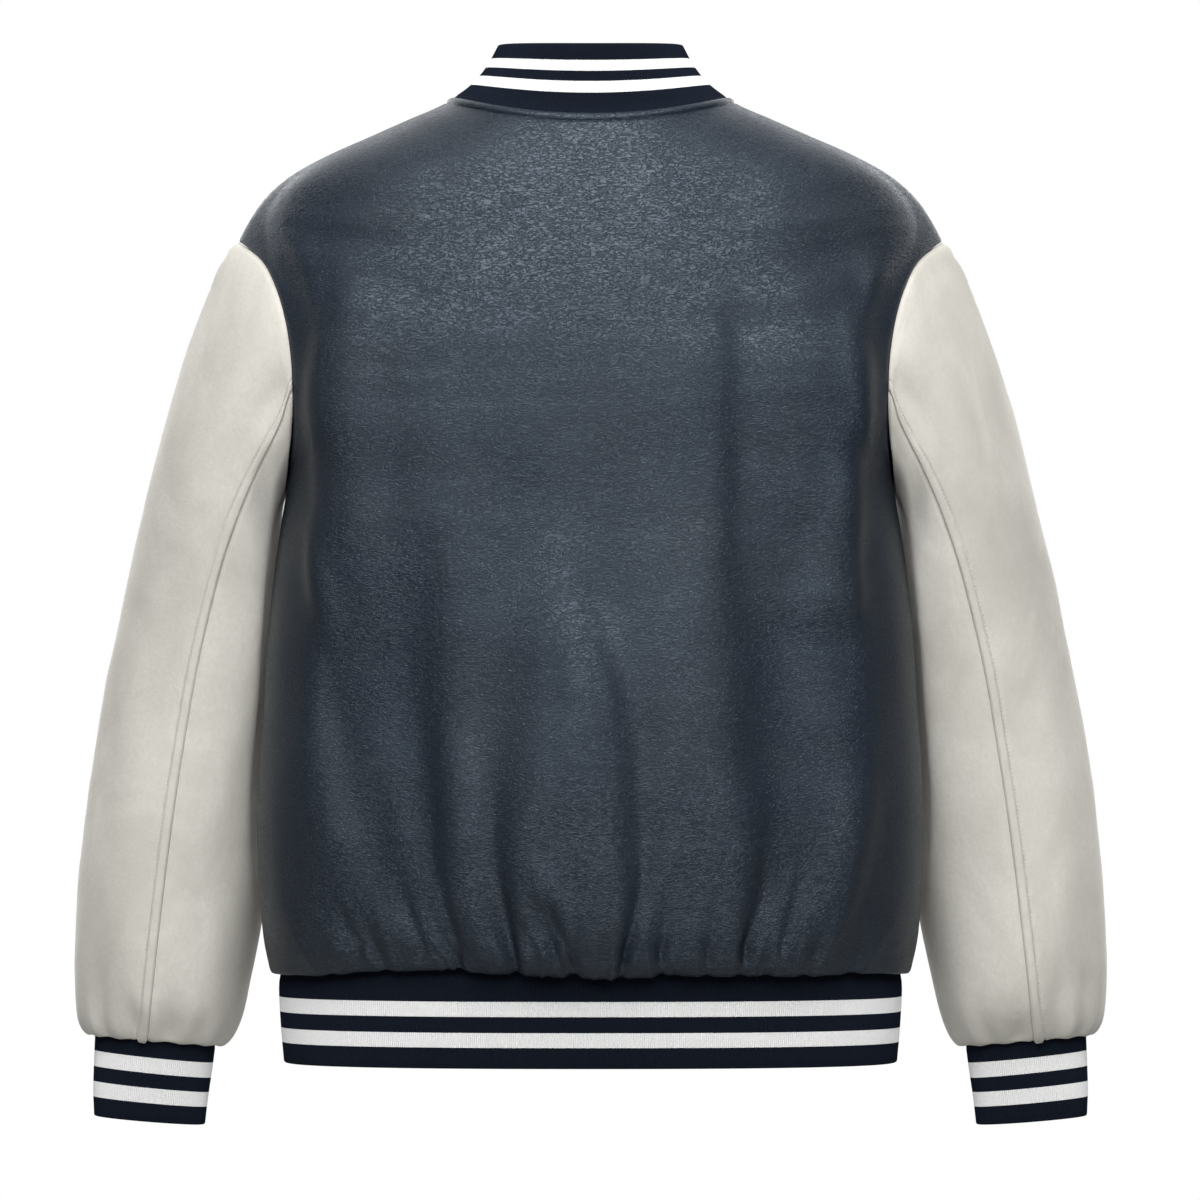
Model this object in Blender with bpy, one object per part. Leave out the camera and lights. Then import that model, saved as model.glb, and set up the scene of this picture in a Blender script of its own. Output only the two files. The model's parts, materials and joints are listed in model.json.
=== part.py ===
"""Varsity jacket, standing as if worn: leather back and fronts, two-piece suede
sleeves, striped knit ribs at neck, hem and cuffs, snap placket at the front.

The wearer faces -Y, the wearer's left is +X, up is +Z. The origin is midway
between the two side neck points, where the jacket rests on the shoulders.
Every piece is a cloth wall: an outer surface worked out from the sections
below, and an inner surface one wall thickness inside it.
"""

import math

import bpy
import numpy as np

for old in list(bpy.data.objects):
    bpy.data.objects.remove(old, do_unlink=True)

# ---------------------------------------------------------------- sizes (m)
LEATHER_WALL = 0.0016
SUEDE_WALL = 0.0016
RIB_WALL = 0.0030  # two layers of knit, folded
PLACKET_WALL = 0.0024  # leather folded over its interfacing
SEAM = 0.00036  # clear distance between two pieces at a seam
LAP = 0.0004  # clear distance between a piece and what lies on it

BACK_COLUMNS = 20  # across the whole back
FRONT_COLUMNS = 10  # across each front
PLACKET_HALF = 0.0165
COLLAR_GAP = 0.0032  # between the collar's two ends
ARM_CLEAR = 0.0045  # sleeve to body side
SNAP_RADIUS = 0.0075
SNAP_HEIGHT = 0.0032
SNAP_COUNT = 7

# Body sections from the hem up to the neck seam, one row each.
# side_*: the edge of the back panel (side seam, then the armhole's back half,
# then the shoulder seam). chest_*: the same edge on the front panel.
# back_*, front_*: the centre lines. mid_y, front_mid_y: depth of each half
# section's widest point. square: 2 is an ellipse, more is flatter.
BODY_COLUMNS = (
    "side_x side_y side_z chest_x chest_y chest_z "
    "back_y back_z front_y front_z mid_y square front_mid_y"
).split()
BODY = [
    # hem seam, roll over the rib, blouse above it
    (0.2222, -0.006, -0.6268, 0.2222, -0.006, -0.6268, 0.1085, -0.6260, -0.1065, -0.6268, -0.006, 2.45, -0.006),
    (0.2292, -0.006, -0.6292, 0.2292, -0.006, -0.6292, 0.1180, -0.6280, -0.1150, -0.6292, -0.006, 2.45, -0.006),
    (0.2322, -0.005, -0.6200, 0.2322, -0.005, -0.6200, 0.1290, -0.6200, -0.1240, -0.6200, -0.005, 2.45, -0.005),
    (0.2355, -0.004, -0.6020, 0.2355, -0.004, -0.6020, 0.1385, -0.6020, -0.1310, -0.6020, -0.004, 2.45, -0.004),
    (0.2380, -0.002, -0.5740, 0.2380, -0.002, -0.5740, 0.1440, -0.5740, -0.1350, -0.5740, -0.002, 2.45, -0.002),
    (0.2399, 0.000, -0.5400, 0.2399, 0.000, -0.5400, 0.1455, -0.5400, -0.1360, -0.5400, 0.000, 2.40, 0.000),
    (0.2396, 0.002, -0.5050, 0.2396, 0.002, -0.5050, 0.1440, -0.5050, -0.1350, -0.5050, 0.002, 2.40, 0.002),
    (0.2372, 0.004, -0.4650, 0.2372, 0.004, -0.4650, 0.1400, -0.4650, -0.1330, -0.4650, 0.004, 2.40, 0.004),
    (0.2348, 0.005, -0.4350, 0.2348, 0.005, -0.4350, 0.1370, -0.4350, -0.1315, -0.4350, 0.005, 2.40, 0.005),
    (0.2330, 0.006, -0.4000, 0.2330, 0.006, -0.4000, 0.1335, -0.4000, -0.1295, -0.4000, 0.006, 2.40, 0.006),
    (0.2288, 0.005, -0.3550, 0.2288, 0.005, -0.3550, 0.1300, -0.3550, -0.1275, -0.3550, 0.005, 2.40, 0.005),
    (0.2240, 0.002, -0.3150, 0.2240, 0.002, -0.3150, 0.1275, -0.3150, -0.1255, -0.3150, 0.002, 2.35, 0.002),
    (0.2195, -0.006, -0.2850, 0.2195, -0.006, -0.2850, 0.1260, -0.2850, -0.1240, -0.2850, -0.006, 2.35, -0.006),
    # armhole
    (0.2155, 0.036, -0.2620, 0.2125, -0.052, -0.2640, 0.1250, -0.2640, -0.1225, -0.2660, -0.008, 2.35, -0.008),
    (0.2132, 0.0520, -0.2380, 0.2070, -0.074, -0.2400, 0.1235, -0.2430, -0.1205, -0.2480, -0.010, 2.35, -0.010),
    (0.2132, 0.0590, -0.2120, 0.2040, -0.083, -0.2130, 0.1215, -0.2240, -0.1185, -0.2310, -0.011, 2.35, -0.011),
    (0.2148, 0.0600, -0.1850, 0.2035, -0.085, -0.1850, 0.1195, -0.2050, -0.1165, -0.2150, -0.011, 2.35, -0.011),
    (0.2190, 0.0560, -0.1600, 0.2065, -0.080, -0.1590, 0.1170, -0.1860, -0.1140, -0.1950, -0.013, 2.32, -0.009),
    (0.2262, 0.0440, -0.1370, 0.2150, -0.064, -0.1370, 0.1145, -0.1680, -0.1115, -0.1800, -0.018, 2.30, -0.002),
    (0.2370, 0.0250, -0.1170, 0.2310, -0.040, -0.1175, 0.1115, -0.1500, -0.1090, -0.1650, -0.028, 2.25, 0.014),
    (0.2545, -0.004, -0.1030, 0.2545, -0.004, -0.1030, 0.1085, -0.1340, -0.1060, -0.1500, -0.042, 2.20, 0.034),
    # shoulder seam, then the neck seam
    (0.2440, -0.004, -0.0840, 0.2440, -0.004, -0.0840, 0.1045, -0.1180, -0.1030, -0.1400, -0.030, 2.15, 0.022),
    (0.2320, -0.004, -0.0688, 0.2320, -0.004, -0.0688, 0.1005, -0.1020, -0.1000, -0.1310, -0.018, 2.12, 0.010),
    (0.2140, -0.003, -0.0545, 0.2140, -0.003, -0.0545, 0.0960, -0.0850, -0.0965, -0.1225, -0.008, 2.10, 0.002),
    (0.1890, -0.002, -0.0413, 0.1890, -0.002, -0.0413, 0.0905, -0.0680, -0.0930, -0.1140, -0.002, 2.08, -0.002),
    (0.1600, -0.001, -0.0284, 0.1600, -0.001, -0.0284, 0.0840, -0.0500, -0.0895, -0.1060, -0.001, 2.05, -0.001),
    (0.1310, 0.000, -0.0157, 0.1310, 0.000, -0.0157, 0.0770, -0.0335, -0.0860, -0.0985, 0.000, 2.02, 0.000),
    (0.1110, 0.000, -0.0071, 0.1110, 0.000, -0.0071, 0.0722, -0.0225, -0.0835, -0.0915, 0.000, 2.00, 0.000),
    (0.0985, 0.000, -0.0004, 0.0985, 0.000, -0.0004, 0.0680, -0.0140, -0.0810, -0.0850, 0.000, 2.00, 0.000),
]
UNDERARM_ROW = 12
SHOULDER_TIP_ROW = 20
SEAM_ROW_BACK = 15  # where the sleeve's back seam meets the armhole
SEAM_ROW_FRONT = 15

# Largest folds: a line through three heights, then depth (+ out, - in) and
# half-width.
FOLD_COLUMNS = "x_top z_top x_mid z_mid x_low z_low depth width".split()
BACK_FOLDS = [
    (0.115, -0.191, 0.113, -0.440, 0.089, -0.622, -0.0070, 0.020),
    (0.060, -0.376, 0.062, -0.520, 0.054, -0.612, -0.0050, 0.016),
    (0.089, -0.230, 0.088, -0.420, 0.076, -0.590, 0.0040, 0.018),
    (0.043, -0.525, 0.025, -0.559, 0.005, -0.592, 0.0060, 0.013),
    (0.045, -0.560, 0.028, -0.588, 0.012, -0.616, -0.0050, 0.011),
    (0.003, -0.310, -0.024, -0.450, -0.024, -0.612, -0.0060, 0.018),
    (-0.050, -0.310, -0.050, -0.440, -0.050, -0.590, 0.0040, 0.018),
    (-0.099, -0.150, -0.113, -0.400, -0.112, -0.620, -0.0070, 0.019),
    (0.150, -0.505, 0.127, -0.557, 0.100, -0.612, -0.0050, 0.014),
    (0.186, -0.150, 0.186, -0.230, 0.184, -0.330, -0.0040, 0.014),
    (-0.191, -0.150, -0.192, -0.240, -0.190, -0.340, -0.0040, 0.014),
]
FRONT_FOLDS = [
    (0.120, -0.220, 0.116, -0.430, 0.098, -0.620, -0.0065, 0.020),
    (0.078, -0.360, 0.070, -0.500, 0.060, -0.614, -0.0050, 0.016),
    (0.160, -0.440, 0.150, -0.540, 0.136, -0.614, -0.0045, 0.015),
    (-0.112, -0.240, -0.118, -0.420, -0.108, -0.620, -0.0065, 0.020),
    (-0.066, -0.330, -0.074, -0.490, -0.066, -0.614, -0.0050, 0.016),
    (-0.168, -0.460, -0.156, -0.550, -0.144, -0.614, -0.0045, 0.015),
]

# Sleeve sections from the armhole to the cuff, wearer's left side.
# out_*, in_*: outer and inner edge of the section; mid_y: its centre's depth;
# half_y: half its depth; back_turn, front_turn: where the two sleeve seams lie,
# in degrees round the section from the outer edge.
SLEEVE_COLUMNS = "out_x out_z in_x in_z mid_y half_y back_turn front_turn".split()
SLEEVE = [
    (0.2545, -0.1030, 0.2195, -0.2850, -0.0120, 0.0725, 105.1, 105.0),
    (0.2655, -0.1170, 0.2235, -0.2950, -0.0150, 0.0725, 112.0, 108.0),
    (0.2765, -0.1410, 0.2250, -0.3050, -0.0190, 0.0725, 113.0, 106.0),
    (0.2910, -0.1790, 0.2240, -0.3180, -0.0250, 0.0720, 110.3, 102.0),
    (0.3065, -0.2280, 0.2200, -0.3380, -0.0330, 0.0710, 103.9, 97.0),
    (0.3205, -0.2820, 0.2150, -0.3680, -0.0410, 0.0695, 95.8, 93.0),
    (0.3332, -0.3360, 0.2130, -0.4050, -0.0480, 0.0680, 89.7, 90.0),
    (0.3447, -0.3900, 0.2160, -0.4450, -0.0530, 0.0665, 86.9, 88.0),
    (0.3545, -0.4400, 0.2200, -0.4850, -0.0560, 0.0650, 86.2, 87.0),
    (0.3632, -0.4900, 0.2260, -0.5250, -0.0580, 0.0635, 86.5, 86.0),
    (0.3692, -0.5380, 0.2330, -0.5640, -0.0590, 0.0615, 86.9, 86.0),
    (0.3732, -0.5820, 0.2400, -0.6020, -0.0590, 0.0590, 87.2, 86.0),
    (0.3748, -0.6200, 0.2470, -0.6350, -0.0585, 0.0550, 87.2, 86.0),
    (0.3740, -0.6480, 0.2525, -0.6590, -0.0580, 0.0500, 86.6, 86.0),
    (0.3710, -0.6660, 0.2590, -0.6755, -0.0575, 0.0420, 85.9, 86.0),
    (0.3650, -0.6760, 0.2660, -0.6842, -0.0570, 0.0345, 84.5, 86.0),
    (0.3592, -0.6745, 0.2725, -0.6835, -0.0570, 0.0295, 84.1, 86.0),
]
SLEEVE_BLEND = 0.34  # share of the sleeve over which the armhole's form fades
SLEEVE_FOLDS = [
    # along (0 armhole, 1 cuff), turn (degrees), length, half-width, depth
    (0.22, 128.0, 0.10, 20.0, -0.0045),
    (0.20, 40.0, 0.14, 16.0, -0.0030),
    (0.46, 60.0, 0.16, 20.0, -0.0030),
    (0.64, 118.0, 0.15, 18.0, -0.0030),
    (0.80, 45.0, 0.14, 16.0, -0.0030),
    (0.30, -70.0, 0.14, 22.0, -0.0045),
    (0.48, -95.0, 0.12, 20.0, -0.0040),
    (0.72, -60.0, 0.16, 18.0, -0.0030),
]

# Rib sections, seam end first: half-width, depths and heights.
COLLAR = [
    # side_x side_y side_z back_y back_z front_y front_z square
    (0.0985, 0.000, -0.0004, 0.0680, -0.0140, -0.0810, -0.0850, 2.00),
    (0.0852, -0.001, 0.0098, 0.0655, 0.0015, -0.0760, -0.0695, 2.00),
    (0.0745, -0.001, 0.0225, 0.0625, 0.0175, -0.0705, -0.0540, 2.05),
    (0.0665, -0.001, 0.0370, 0.0600, 0.0350, -0.0655, -0.0385, 2.15),
]
HEM_BAND = [
    (0.2222, -0.006, -0.6268, 0.1085, -0.6260, -0.1065, -0.6268, 2.45),
    (0.2240, -0.006, -0.6400, 0.1095, -0.6400, -0.1080, -0.6400, 2.45),
    (0.2226, -0.006, -0.6680, 0.1100, -0.6680, -0.1080, -0.6680, 2.45),
    (0.2205, -0.006, -0.6925, 0.1090, -0.6925, -0.1070, -0.6925, 2.45),
]
CUFF = [
    # out_x out_z in_x in_z mid_y half_y
    (0.3590, -0.6745, 0.2725, -0.6835, -0.0570, 0.0295),
    (0.3598, -0.6900, 0.2745, -0.6990, -0.0570, 0.0300),
    (0.3606, -0.7150, 0.2780, -0.7230, -0.0568, 0.0295),
    (0.3600, -0.7340, 0.2800, -0.7405, -0.0565, 0.0285),
]


# ---------------------------------------------------------------- maths
def ease(t):
    t = np.clip(t, 0.0, 1.0)
    return t * t * (3.0 - 2.0 * t)


def unit(v):
    return v / np.maximum(np.linalg.norm(v, axis=-1, keepdims=True), 1e-12)


def track(table, x):
    """Smooth curve through a table's rows; x counts rows from 0."""
    y = np.asarray(table, float)
    slope = np.gradient(y, axis=0)
    x = np.clip(np.asarray(x, float), 0, len(y) - 1)
    i = np.minimum(x.astype(int), len(y) - 2)
    t = (x - i)[..., None]
    a, b, ma, mb = y[i], y[i + 1], slope[i], slope[i + 1]
    return (
        a * (2 * t**3 - 3 * t**2 + 1)
        + ma * (t**3 - 2 * t**2 + t)
        + b * (3 * t**2 - 2 * t**3)
        + mb * (t**3 - t**2)
    )


def grid_normals(grid, wrap=False):
    """Unit normals of a grid of points (rows, columns, 3)."""
    if wrap:
        along = np.roll(grid, -1, axis=1) - np.roll(grid, 1, axis=1)
    else:
        along = np.gradient(grid, axis=1)
    up = np.gradient(grid, axis=0)
    return unit(np.cross(along, up))


def face_out(grid, normals, centre):
    """Turns the normals away from a centre line given per row."""
    away = np.sum((grid - centre) * normals)
    return normals if away > 0 else -normals


def fold_height(x, z, folds):
    """How far the cloth stands out or in at (x, z) from a table of folds."""
    total = np.zeros_like(x)
    for x0, z0, x1, z1, x2, z2, depth, width in folds:
        zs, xs = np.array([z2, z1, z0]), np.array([x2, x1, x0])
        line = np.interp(z, zs, xs)
        bend = np.polyval(np.polyfit(zs, xs, 2), np.clip(z, z2, z0))
        line = 0.3 * line + 0.7 * bend
        length = z0 - z2
        ends = ease((z0 - z) / (0.35 * length)) * ease((z - z2) / min(0.02, 0.2 * length))
        total += depth * np.exp(-(((x - line) / width) ** 2)) * ends
    return total


# ---------------------------------------------------------------- body form
BODY_T = np.array(BODY)
ROWS = len(BODY)


def section(edge, centre, mid_y, square, turn):
    """Points of one half section. turn runs from 0 at the centre line to 1 at
    the panel's edge, and may be an array."""
    p = 2.0 / square
    share = np.clip((edge[1] - mid_y) / (centre[0] - mid_y), 0.0, 1.0)
    end = math.acos(share ** (1.0 / p))
    wide = edge[0] / math.sin(end) ** p
    a = end * turn
    x = wide * np.sin(a) ** p
    y = mid_y + (centre[0] - mid_y) * np.clip(np.cos(a), 0, 1) ** p
    z = centre[1] + (edge[2] - centre[1]) * np.sin(0.5 * math.pi * turn) ** 2
    return np.stack([x, y, z], -1)


def turn_for_x(edge, centre, mid_y, square, x):
    """The turn at which a half section reaches a given x."""
    p = 2.0 / square
    share = min(max((edge[1] - mid_y) / (centre[0] - mid_y), 0.0), 1.0)
    end = math.acos(share ** (1.0 / p))
    wide = edge[0] / math.sin(end) ** p
    return math.asin(min((x / wide) ** (1.0 / p), 1.0)) / end


def body_row(row, front):
    r = BODY_T[row]
    if front:
        return (r[3], r[4], r[5]), (r[8], r[9]), r[12], r[11]
    return (r[0], r[1], r[2]), (r[6], r[7]), r[10], r[11]


def back_grid():
    half = BACK_COLUMNS // 2
    turn = np.arange(half + 1) / half
    rows = []
    for k in range(ROWS):
        edge, centre, mid, sq = body_row(k, False)
        right = section(edge, centre, mid, sq, turn)
        left = right[1:][::-1] * (-1, 1, 1)
        rows.append(np.concatenate([left, right]))
    return np.array(rows)


def front_grid(side):
    """side is 1 for the wearer's left, -1 for the right; column 0 is the
    centre front and column 1 the placket's edge."""
    rows = []
    for k in range(ROWS):
        edge, centre, mid, sq = body_row(k, True)
        first = turn_for_x(edge, centre, mid, sq, PLACKET_HALF)
        rest = first + (1 - first) * np.arange(FRONT_COLUMNS) / (FRONT_COLUMNS - 1)
        pts = section(edge, centre, mid, sq, np.concatenate([[0.0], rest]))
        rows.append(pts * (side, 1, 1))
    return np.array(rows)


def add_folds(grid, folds, centre_line):
    """Moves a body panel's points along its normals by the fold table, and
    fades the folds out at the panel's edges."""
    n = face_out(grid, grid_normals(grid), centre_line)
    rise = fold_height(grid[..., 0], grid[..., 2], folds)
    cols = grid.shape[1]
    edge = np.minimum(np.arange(cols), np.arange(cols)[::-1]) / 2.0
    return grid + n * (rise * ease(edge)[None, :])[..., None]


BODY_CENTRE = np.array([[[0.0, 0.0, z]] for z in BODY_T[:, 2]])

back = add_folds(back_grid(), BACK_FOLDS, BODY_CENTRE)
fronts = {}
for name, side in (("left", 1), ("right", -1)):
    g = front_grid(side)
    n = face_out(g, grid_normals(g), BODY_CENTRE)
    rise = fold_height(g[..., 0], g[..., 2], FRONT_FOLDS)
    columns = g.shape[1]
    fade = ease((np.arange(columns) - 1) / 2.0) * ease((columns - 1 - np.arange(columns)) / 2.0)
    fronts[name] = g + n * (rise * fade[None, :])[..., None]


# ---------------------------------------------------------------- seams
def seam(line, n1, n2, into, out):
    """Two pieces meet along line. n1, n2: their outward normals there. into:
    direction of piece 1 towards the seam; out: of piece 2 away from it.
    Returns the shared wall direction and the step from piece 1 to piece 2."""
    along = unit(np.gradient(line, axis=0))
    wall = -(unit(n1) + unit(n2))
    fold = unit(into) - unit(out)
    sign = np.where(np.sum(fold * wall, -1, keepdims=True) < -1e-3, -1.0, 1.0)
    wall = wall + sign * fold * np.linalg.norm(fold, axis=-1, keepdims=True) * 0.5
    wall = unit(wall - along * np.sum(wall * along, -1, keepdims=True))
    step = unit(np.cross(along, wall))
    toward = np.sum(step * (unit(out) + 0.3 * unit(n1)), -1, keepdims=True)
    return wall, step * np.where(toward < 0, -1.0, 1.0)


class Wall:
    """Outer points and wall directions of one piece, before it is closed."""

    def __init__(self, grid, normals, thick):
        self.grid = grid.copy()
        self.wall = -normals.copy()
        self.thick = thick

    def mesh(self, name, wrap=False):
        rows, cols = self.grid.shape[:2]
        outer = self.grid.reshape(-1, 3)
        inner = (self.grid + self.wall * self.thick).reshape(-1, 3)
        points = np.concatenate([outer, inner])
        n = rows * cols

        def at(r, c):
            return r * cols + c % cols

        faces = []
        last = cols if wrap else cols - 1
        for r in range(rows - 1):
            for c in range(last):
                a, b, d, e = at(r, c), at(r, c + 1), at(r + 1, c + 1), at(r + 1, c)
                faces.append((a, b, d, e))
                faces.append((n + e, n + d, n + b, n + a))
        for c in range(last):
            a, b = at(0, c), at(0, c + 1)
            faces.append((n + a, n + b, b, a))
            a, b = at(rows - 1, c), at(rows - 1, c + 1)
            faces.append((a, b, n + b, n + a))
        if not wrap:
            for r in range(rows - 1):
                a, b = at(r, 0), at(r + 1, 0)
                faces.append((a, b, n + b, n + a))
                a, b = at(r, cols - 1), at(r + 1, cols - 1)
                faces.append((n + a, n + b, b, a))
        return points, faces


def volume(points, faces):
    total = 0.0
    for f in faces:
        for i in range(1, len(f) - 1):
            total += np.dot(points[f[0]], np.cross(points[f[i]], points[f[i + 1]]))
    return total / 6.0


def split_quads(points, faces):
    """Triangles, cut along the shorter diagonal."""
    out = []
    for f in faces:
        if len(f) == 4:
            a, b, c, d = f
            if np.sum((points[a] - points[c]) ** 2) <= np.sum((points[b] - points[d]) ** 2):
                out += [(a, b, c), (a, c, d)]
            else:
                out += [(a, b, d), (b, c, d)]
        else:
            out.append(f)
    return out


def material(name, colour, rough, metal=0.0):
    m = bpy.data.materials.get(name)
    if m is None:
        m = bpy.data.materials.new(name)
        m.use_nodes = True
        shader = m.node_tree.nodes["Principled BSDF"]
        shader.inputs["Base Color"].default_value = (*colour, 1.0)
        shader.inputs["Roughness"].default_value = rough
        shader.inputs["Metallic"].default_value = metal
        m.diffuse_color = (*colour, 1.0)
    return m


LEATHER = ("body_leather", (0.045, 0.058, 0.080), 0.45)
SUEDE = ("sleeve_suede", (0.600, 0.580, 0.530), 0.95)
RIB = ("knit_rib", (0.006, 0.011, 0.024), 0.90)
STEEL = ("snap_metal", (0.42, 0.42, 0.43), 0.30, 1.0)


def build(name, points, faces, finish):
    faces = split_quads(points, faces)
    if volume(points, faces) < 0:
        faces = [f[::-1] for f in faces]
    mesh = bpy.data.meshes.new(name)
    mesh.from_pydata([tuple(map(float, p)) for p in points], [], [tuple(map(int, f)) for f in faces])
    mesh.update()
    mesh.materials.append(material(*finish))
    obj = bpy.data.objects.new(name, mesh)
    bpy.context.scene.collection.objects.link(obj)
    return obj


walls = {"back": Wall(back, face_out(back, grid_normals(back), BODY_CENTRE), LEATHER_WALL)}
for name in fronts:
    g = fronts[name]
    walls["front_" + name] = Wall(g, face_out(g, grid_normals(g), BODY_CENTRE), LEATHER_WALL)

# side seams and shoulder seams: the back's edge columns meet the fronts' last
for name, back_col, inner_col in (("left", -1, -2), ("right", 0, 1)):
    b, f = walls["back"], walls["front_" + name]
    line = back[:, back_col]
    into = line - back[:, inner_col]
    out = fronts[name][:, -2] - fronts[name][:, -1]
    wall_dir, step = seam(line, -b.wall[:, back_col], -f.wall[:, -1], into, out)
    joined = np.ones(ROWS, bool)
    joined[UNDERARM_ROW + 1 : SHOULDER_TIP_ROW] = False
    b.wall[joined, back_col] = wall_dir[joined]
    f.wall[joined, -1] = wall_dir[joined]
    b.grid[joined, back_col] -= step[joined] * SEAM / 2
    f.grid[joined, -1] += step[joined] * SEAM / 2

# centre front: the two fronts butt under the placket
for name, side in (("left", 1), ("right", -1)):
    f = walls["front_" + name]
    f.wall[:, 0, 0] = 0.0
    f.wall[:, 0] = unit(f.wall[:, 0])
    f.grid[:, 0, 0] = side * SEAM / 2

# ---------------------------------------------------------------- sleeves
SLEEVE_T = np.array(SLEEVE)
SLEEVE_ROWS = len(SLEEVE)


def body_side_x(y, z):
    """How far out the body's side reaches at depth y and height z."""
    rows = BODY_T[: UNDERARM_ROW + 1]
    rows = rows[np.argsort(rows[:, 2])]
    wide = np.interp(z, rows[:, 2], rows[:, 0])
    mid = np.interp(z, rows[:, 2], rows[:, 10])
    deep_back = np.interp(z, rows[:, 2], rows[:, 6]) - mid
    deep_front = mid - np.interp(z, rows[:, 2], rows[:, 8])
    sq = np.interp(z, rows[:, 2], rows[:, 11])
    deep = np.where(y > mid, deep_back, deep_front)
    share = np.clip(np.abs(y - mid) / deep, 0, 0.995)
    return wide * (1 - share**sq) ** (1 / sq)


def armhole_line(side):
    """Round the armhole from the underarm up the back, over the shoulder tip
    and down the front, with the turn of each point in degrees."""
    up = range(UNDERARM_ROW, SHOULDER_TIP_ROW + 1)
    back_half = np.array([BODY_T[k, 0:3] for k in up]) * (side, 1, 1)
    front_half = np.array([BODY_T[k, 3:6] for k in up]) * (side, 1, 1)

    def turns(line):
        run = np.concatenate([[0], np.cumsum(np.linalg.norm(np.diff(line, axis=0), axis=1))])
        return 180.0 * (1 - run / run[-1])

    line = np.concatenate([back_half, front_half[::-1][1:]])
    turn = np.concatenate([turns(back_half), -turns(front_half)[::-1][1:]])
    return line, turn


def sleeve_ring(row, turn, side):
    """Points of a sleeve section at fractional row, before the armhole blend."""
    ox, oz, ix, iz, my, hy = track(SLEEVE_T, row)[:6]
    a = np.radians(turn)
    cx, cz = (ox + ix) / 2, (oz + iz) / 2
    x = cx + (ox - ix) / 2 * np.cos(a)
    z = cz + (oz - iz) / 2 * np.cos(a)
    y = my + hy * np.sin(a)
    return np.stack([x * side, y, z], -1)


def sleeve_points(row, turn, side, line, turn0):
    """Points of one sleeve section at the given turns, blended into the
    armhole at the top, with the sleeve's folds, clear of the body's side."""
    s = row / (SLEEVE_ROWS - 1)
    ring = sleeve_ring(row, turn, side)
    own = np.concatenate([turn0, turn0 - 360.0])
    shift = line - sleeve_ring(0.0, turn0, side)
    shift = np.concatenate([shift, shift])
    order = np.argsort(own, kind="stable")
    own, shift = own[order], shift[order]
    if row == 0:
        add = shift[np.abs(own[:, None] - turn[None, :]).argmin(0)]
    else:
        add = np.stack([np.interp(turn, own, shift[:, i]) for i in range(3)], -1)
    ring = ring + add * (1 - ease(s / SLEEVE_BLEND))
    rise = np.zeros(len(turn))
    for at, about, length, width, depth in SLEEVE_FOLDS:
        off = (turn - about + 180.0) % 360.0 - 180.0
        along = (s - at) / (0.5 * length)
        rise += depth * np.exp(-((off / width) ** 2) - along**2)
    rise *= ease(s / 0.12) * ease((1 - s) / 0.12)
    ox, oz, ix, iz, my = track(SLEEVE_T, row)[:5]
    middle = np.array([side * (ox + ix) / 2, my, (oz + iz) / 2])
    ring = ring + unit(ring - middle) * rise[:, None]
    if row > 0:
        clear = 0.0006 + ARM_CLEAR * ease(row / 3.0)
        low = ring[:, 2] < BODY_T[UNDERARM_ROW, 2]
        least = body_side_x(ring[:, 1], ring[:, 2]) + clear
        ring[:, 0] = np.where(low & (ring[:, 0] * side < least), least * side, ring[:, 0])
    return ring


def sleeve_grids(side):
    line, turn0 = armhole_line(side)
    back_at = SEAM_ROW_BACK - UNDERARM_ROW
    front_at = len(line) - 1 - (SEAM_ROW_FRONT - UNDERARM_ROW)
    upper_turn0 = turn0[back_at : front_at + 1]
    under_turn0 = np.concatenate([turn0[front_at:], turn0[1 : back_at + 1] - 360.0])
    uppers, unders = [], []
    for k in range(SLEEVE_ROWS):
        even = ease(k / (SLEEVE_ROWS - 1) / 0.30)
        b, f = SLEEVE_T[k, 6], -SLEEVE_T[k, 7]
        for turn, first, last, rings in (
            (upper_turn0, b, f, uppers),
            (under_turn0, f, b - 360.0, unders),
        ):
            if k:
                share = (turn - turn[0]) / (turn[-1] - turn[0])
                share = (1 - even) * share + even * np.linspace(0, 1, len(turn))
                turn = first + (last - first) * share
            rings.append(sleeve_points(float(k), turn, side, line, turn0))
    return np.array(uppers), np.array(unders)


def sleeve_centre(side):
    rows = []
    for k in range(SLEEVE_ROWS):
        ox, oz, ix, iz, my = SLEEVE_T[k, :5]
        rows.append([[side * (ox + ix) / 2, my, (oz + iz) / 2]])
    return np.array(rows)


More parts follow.
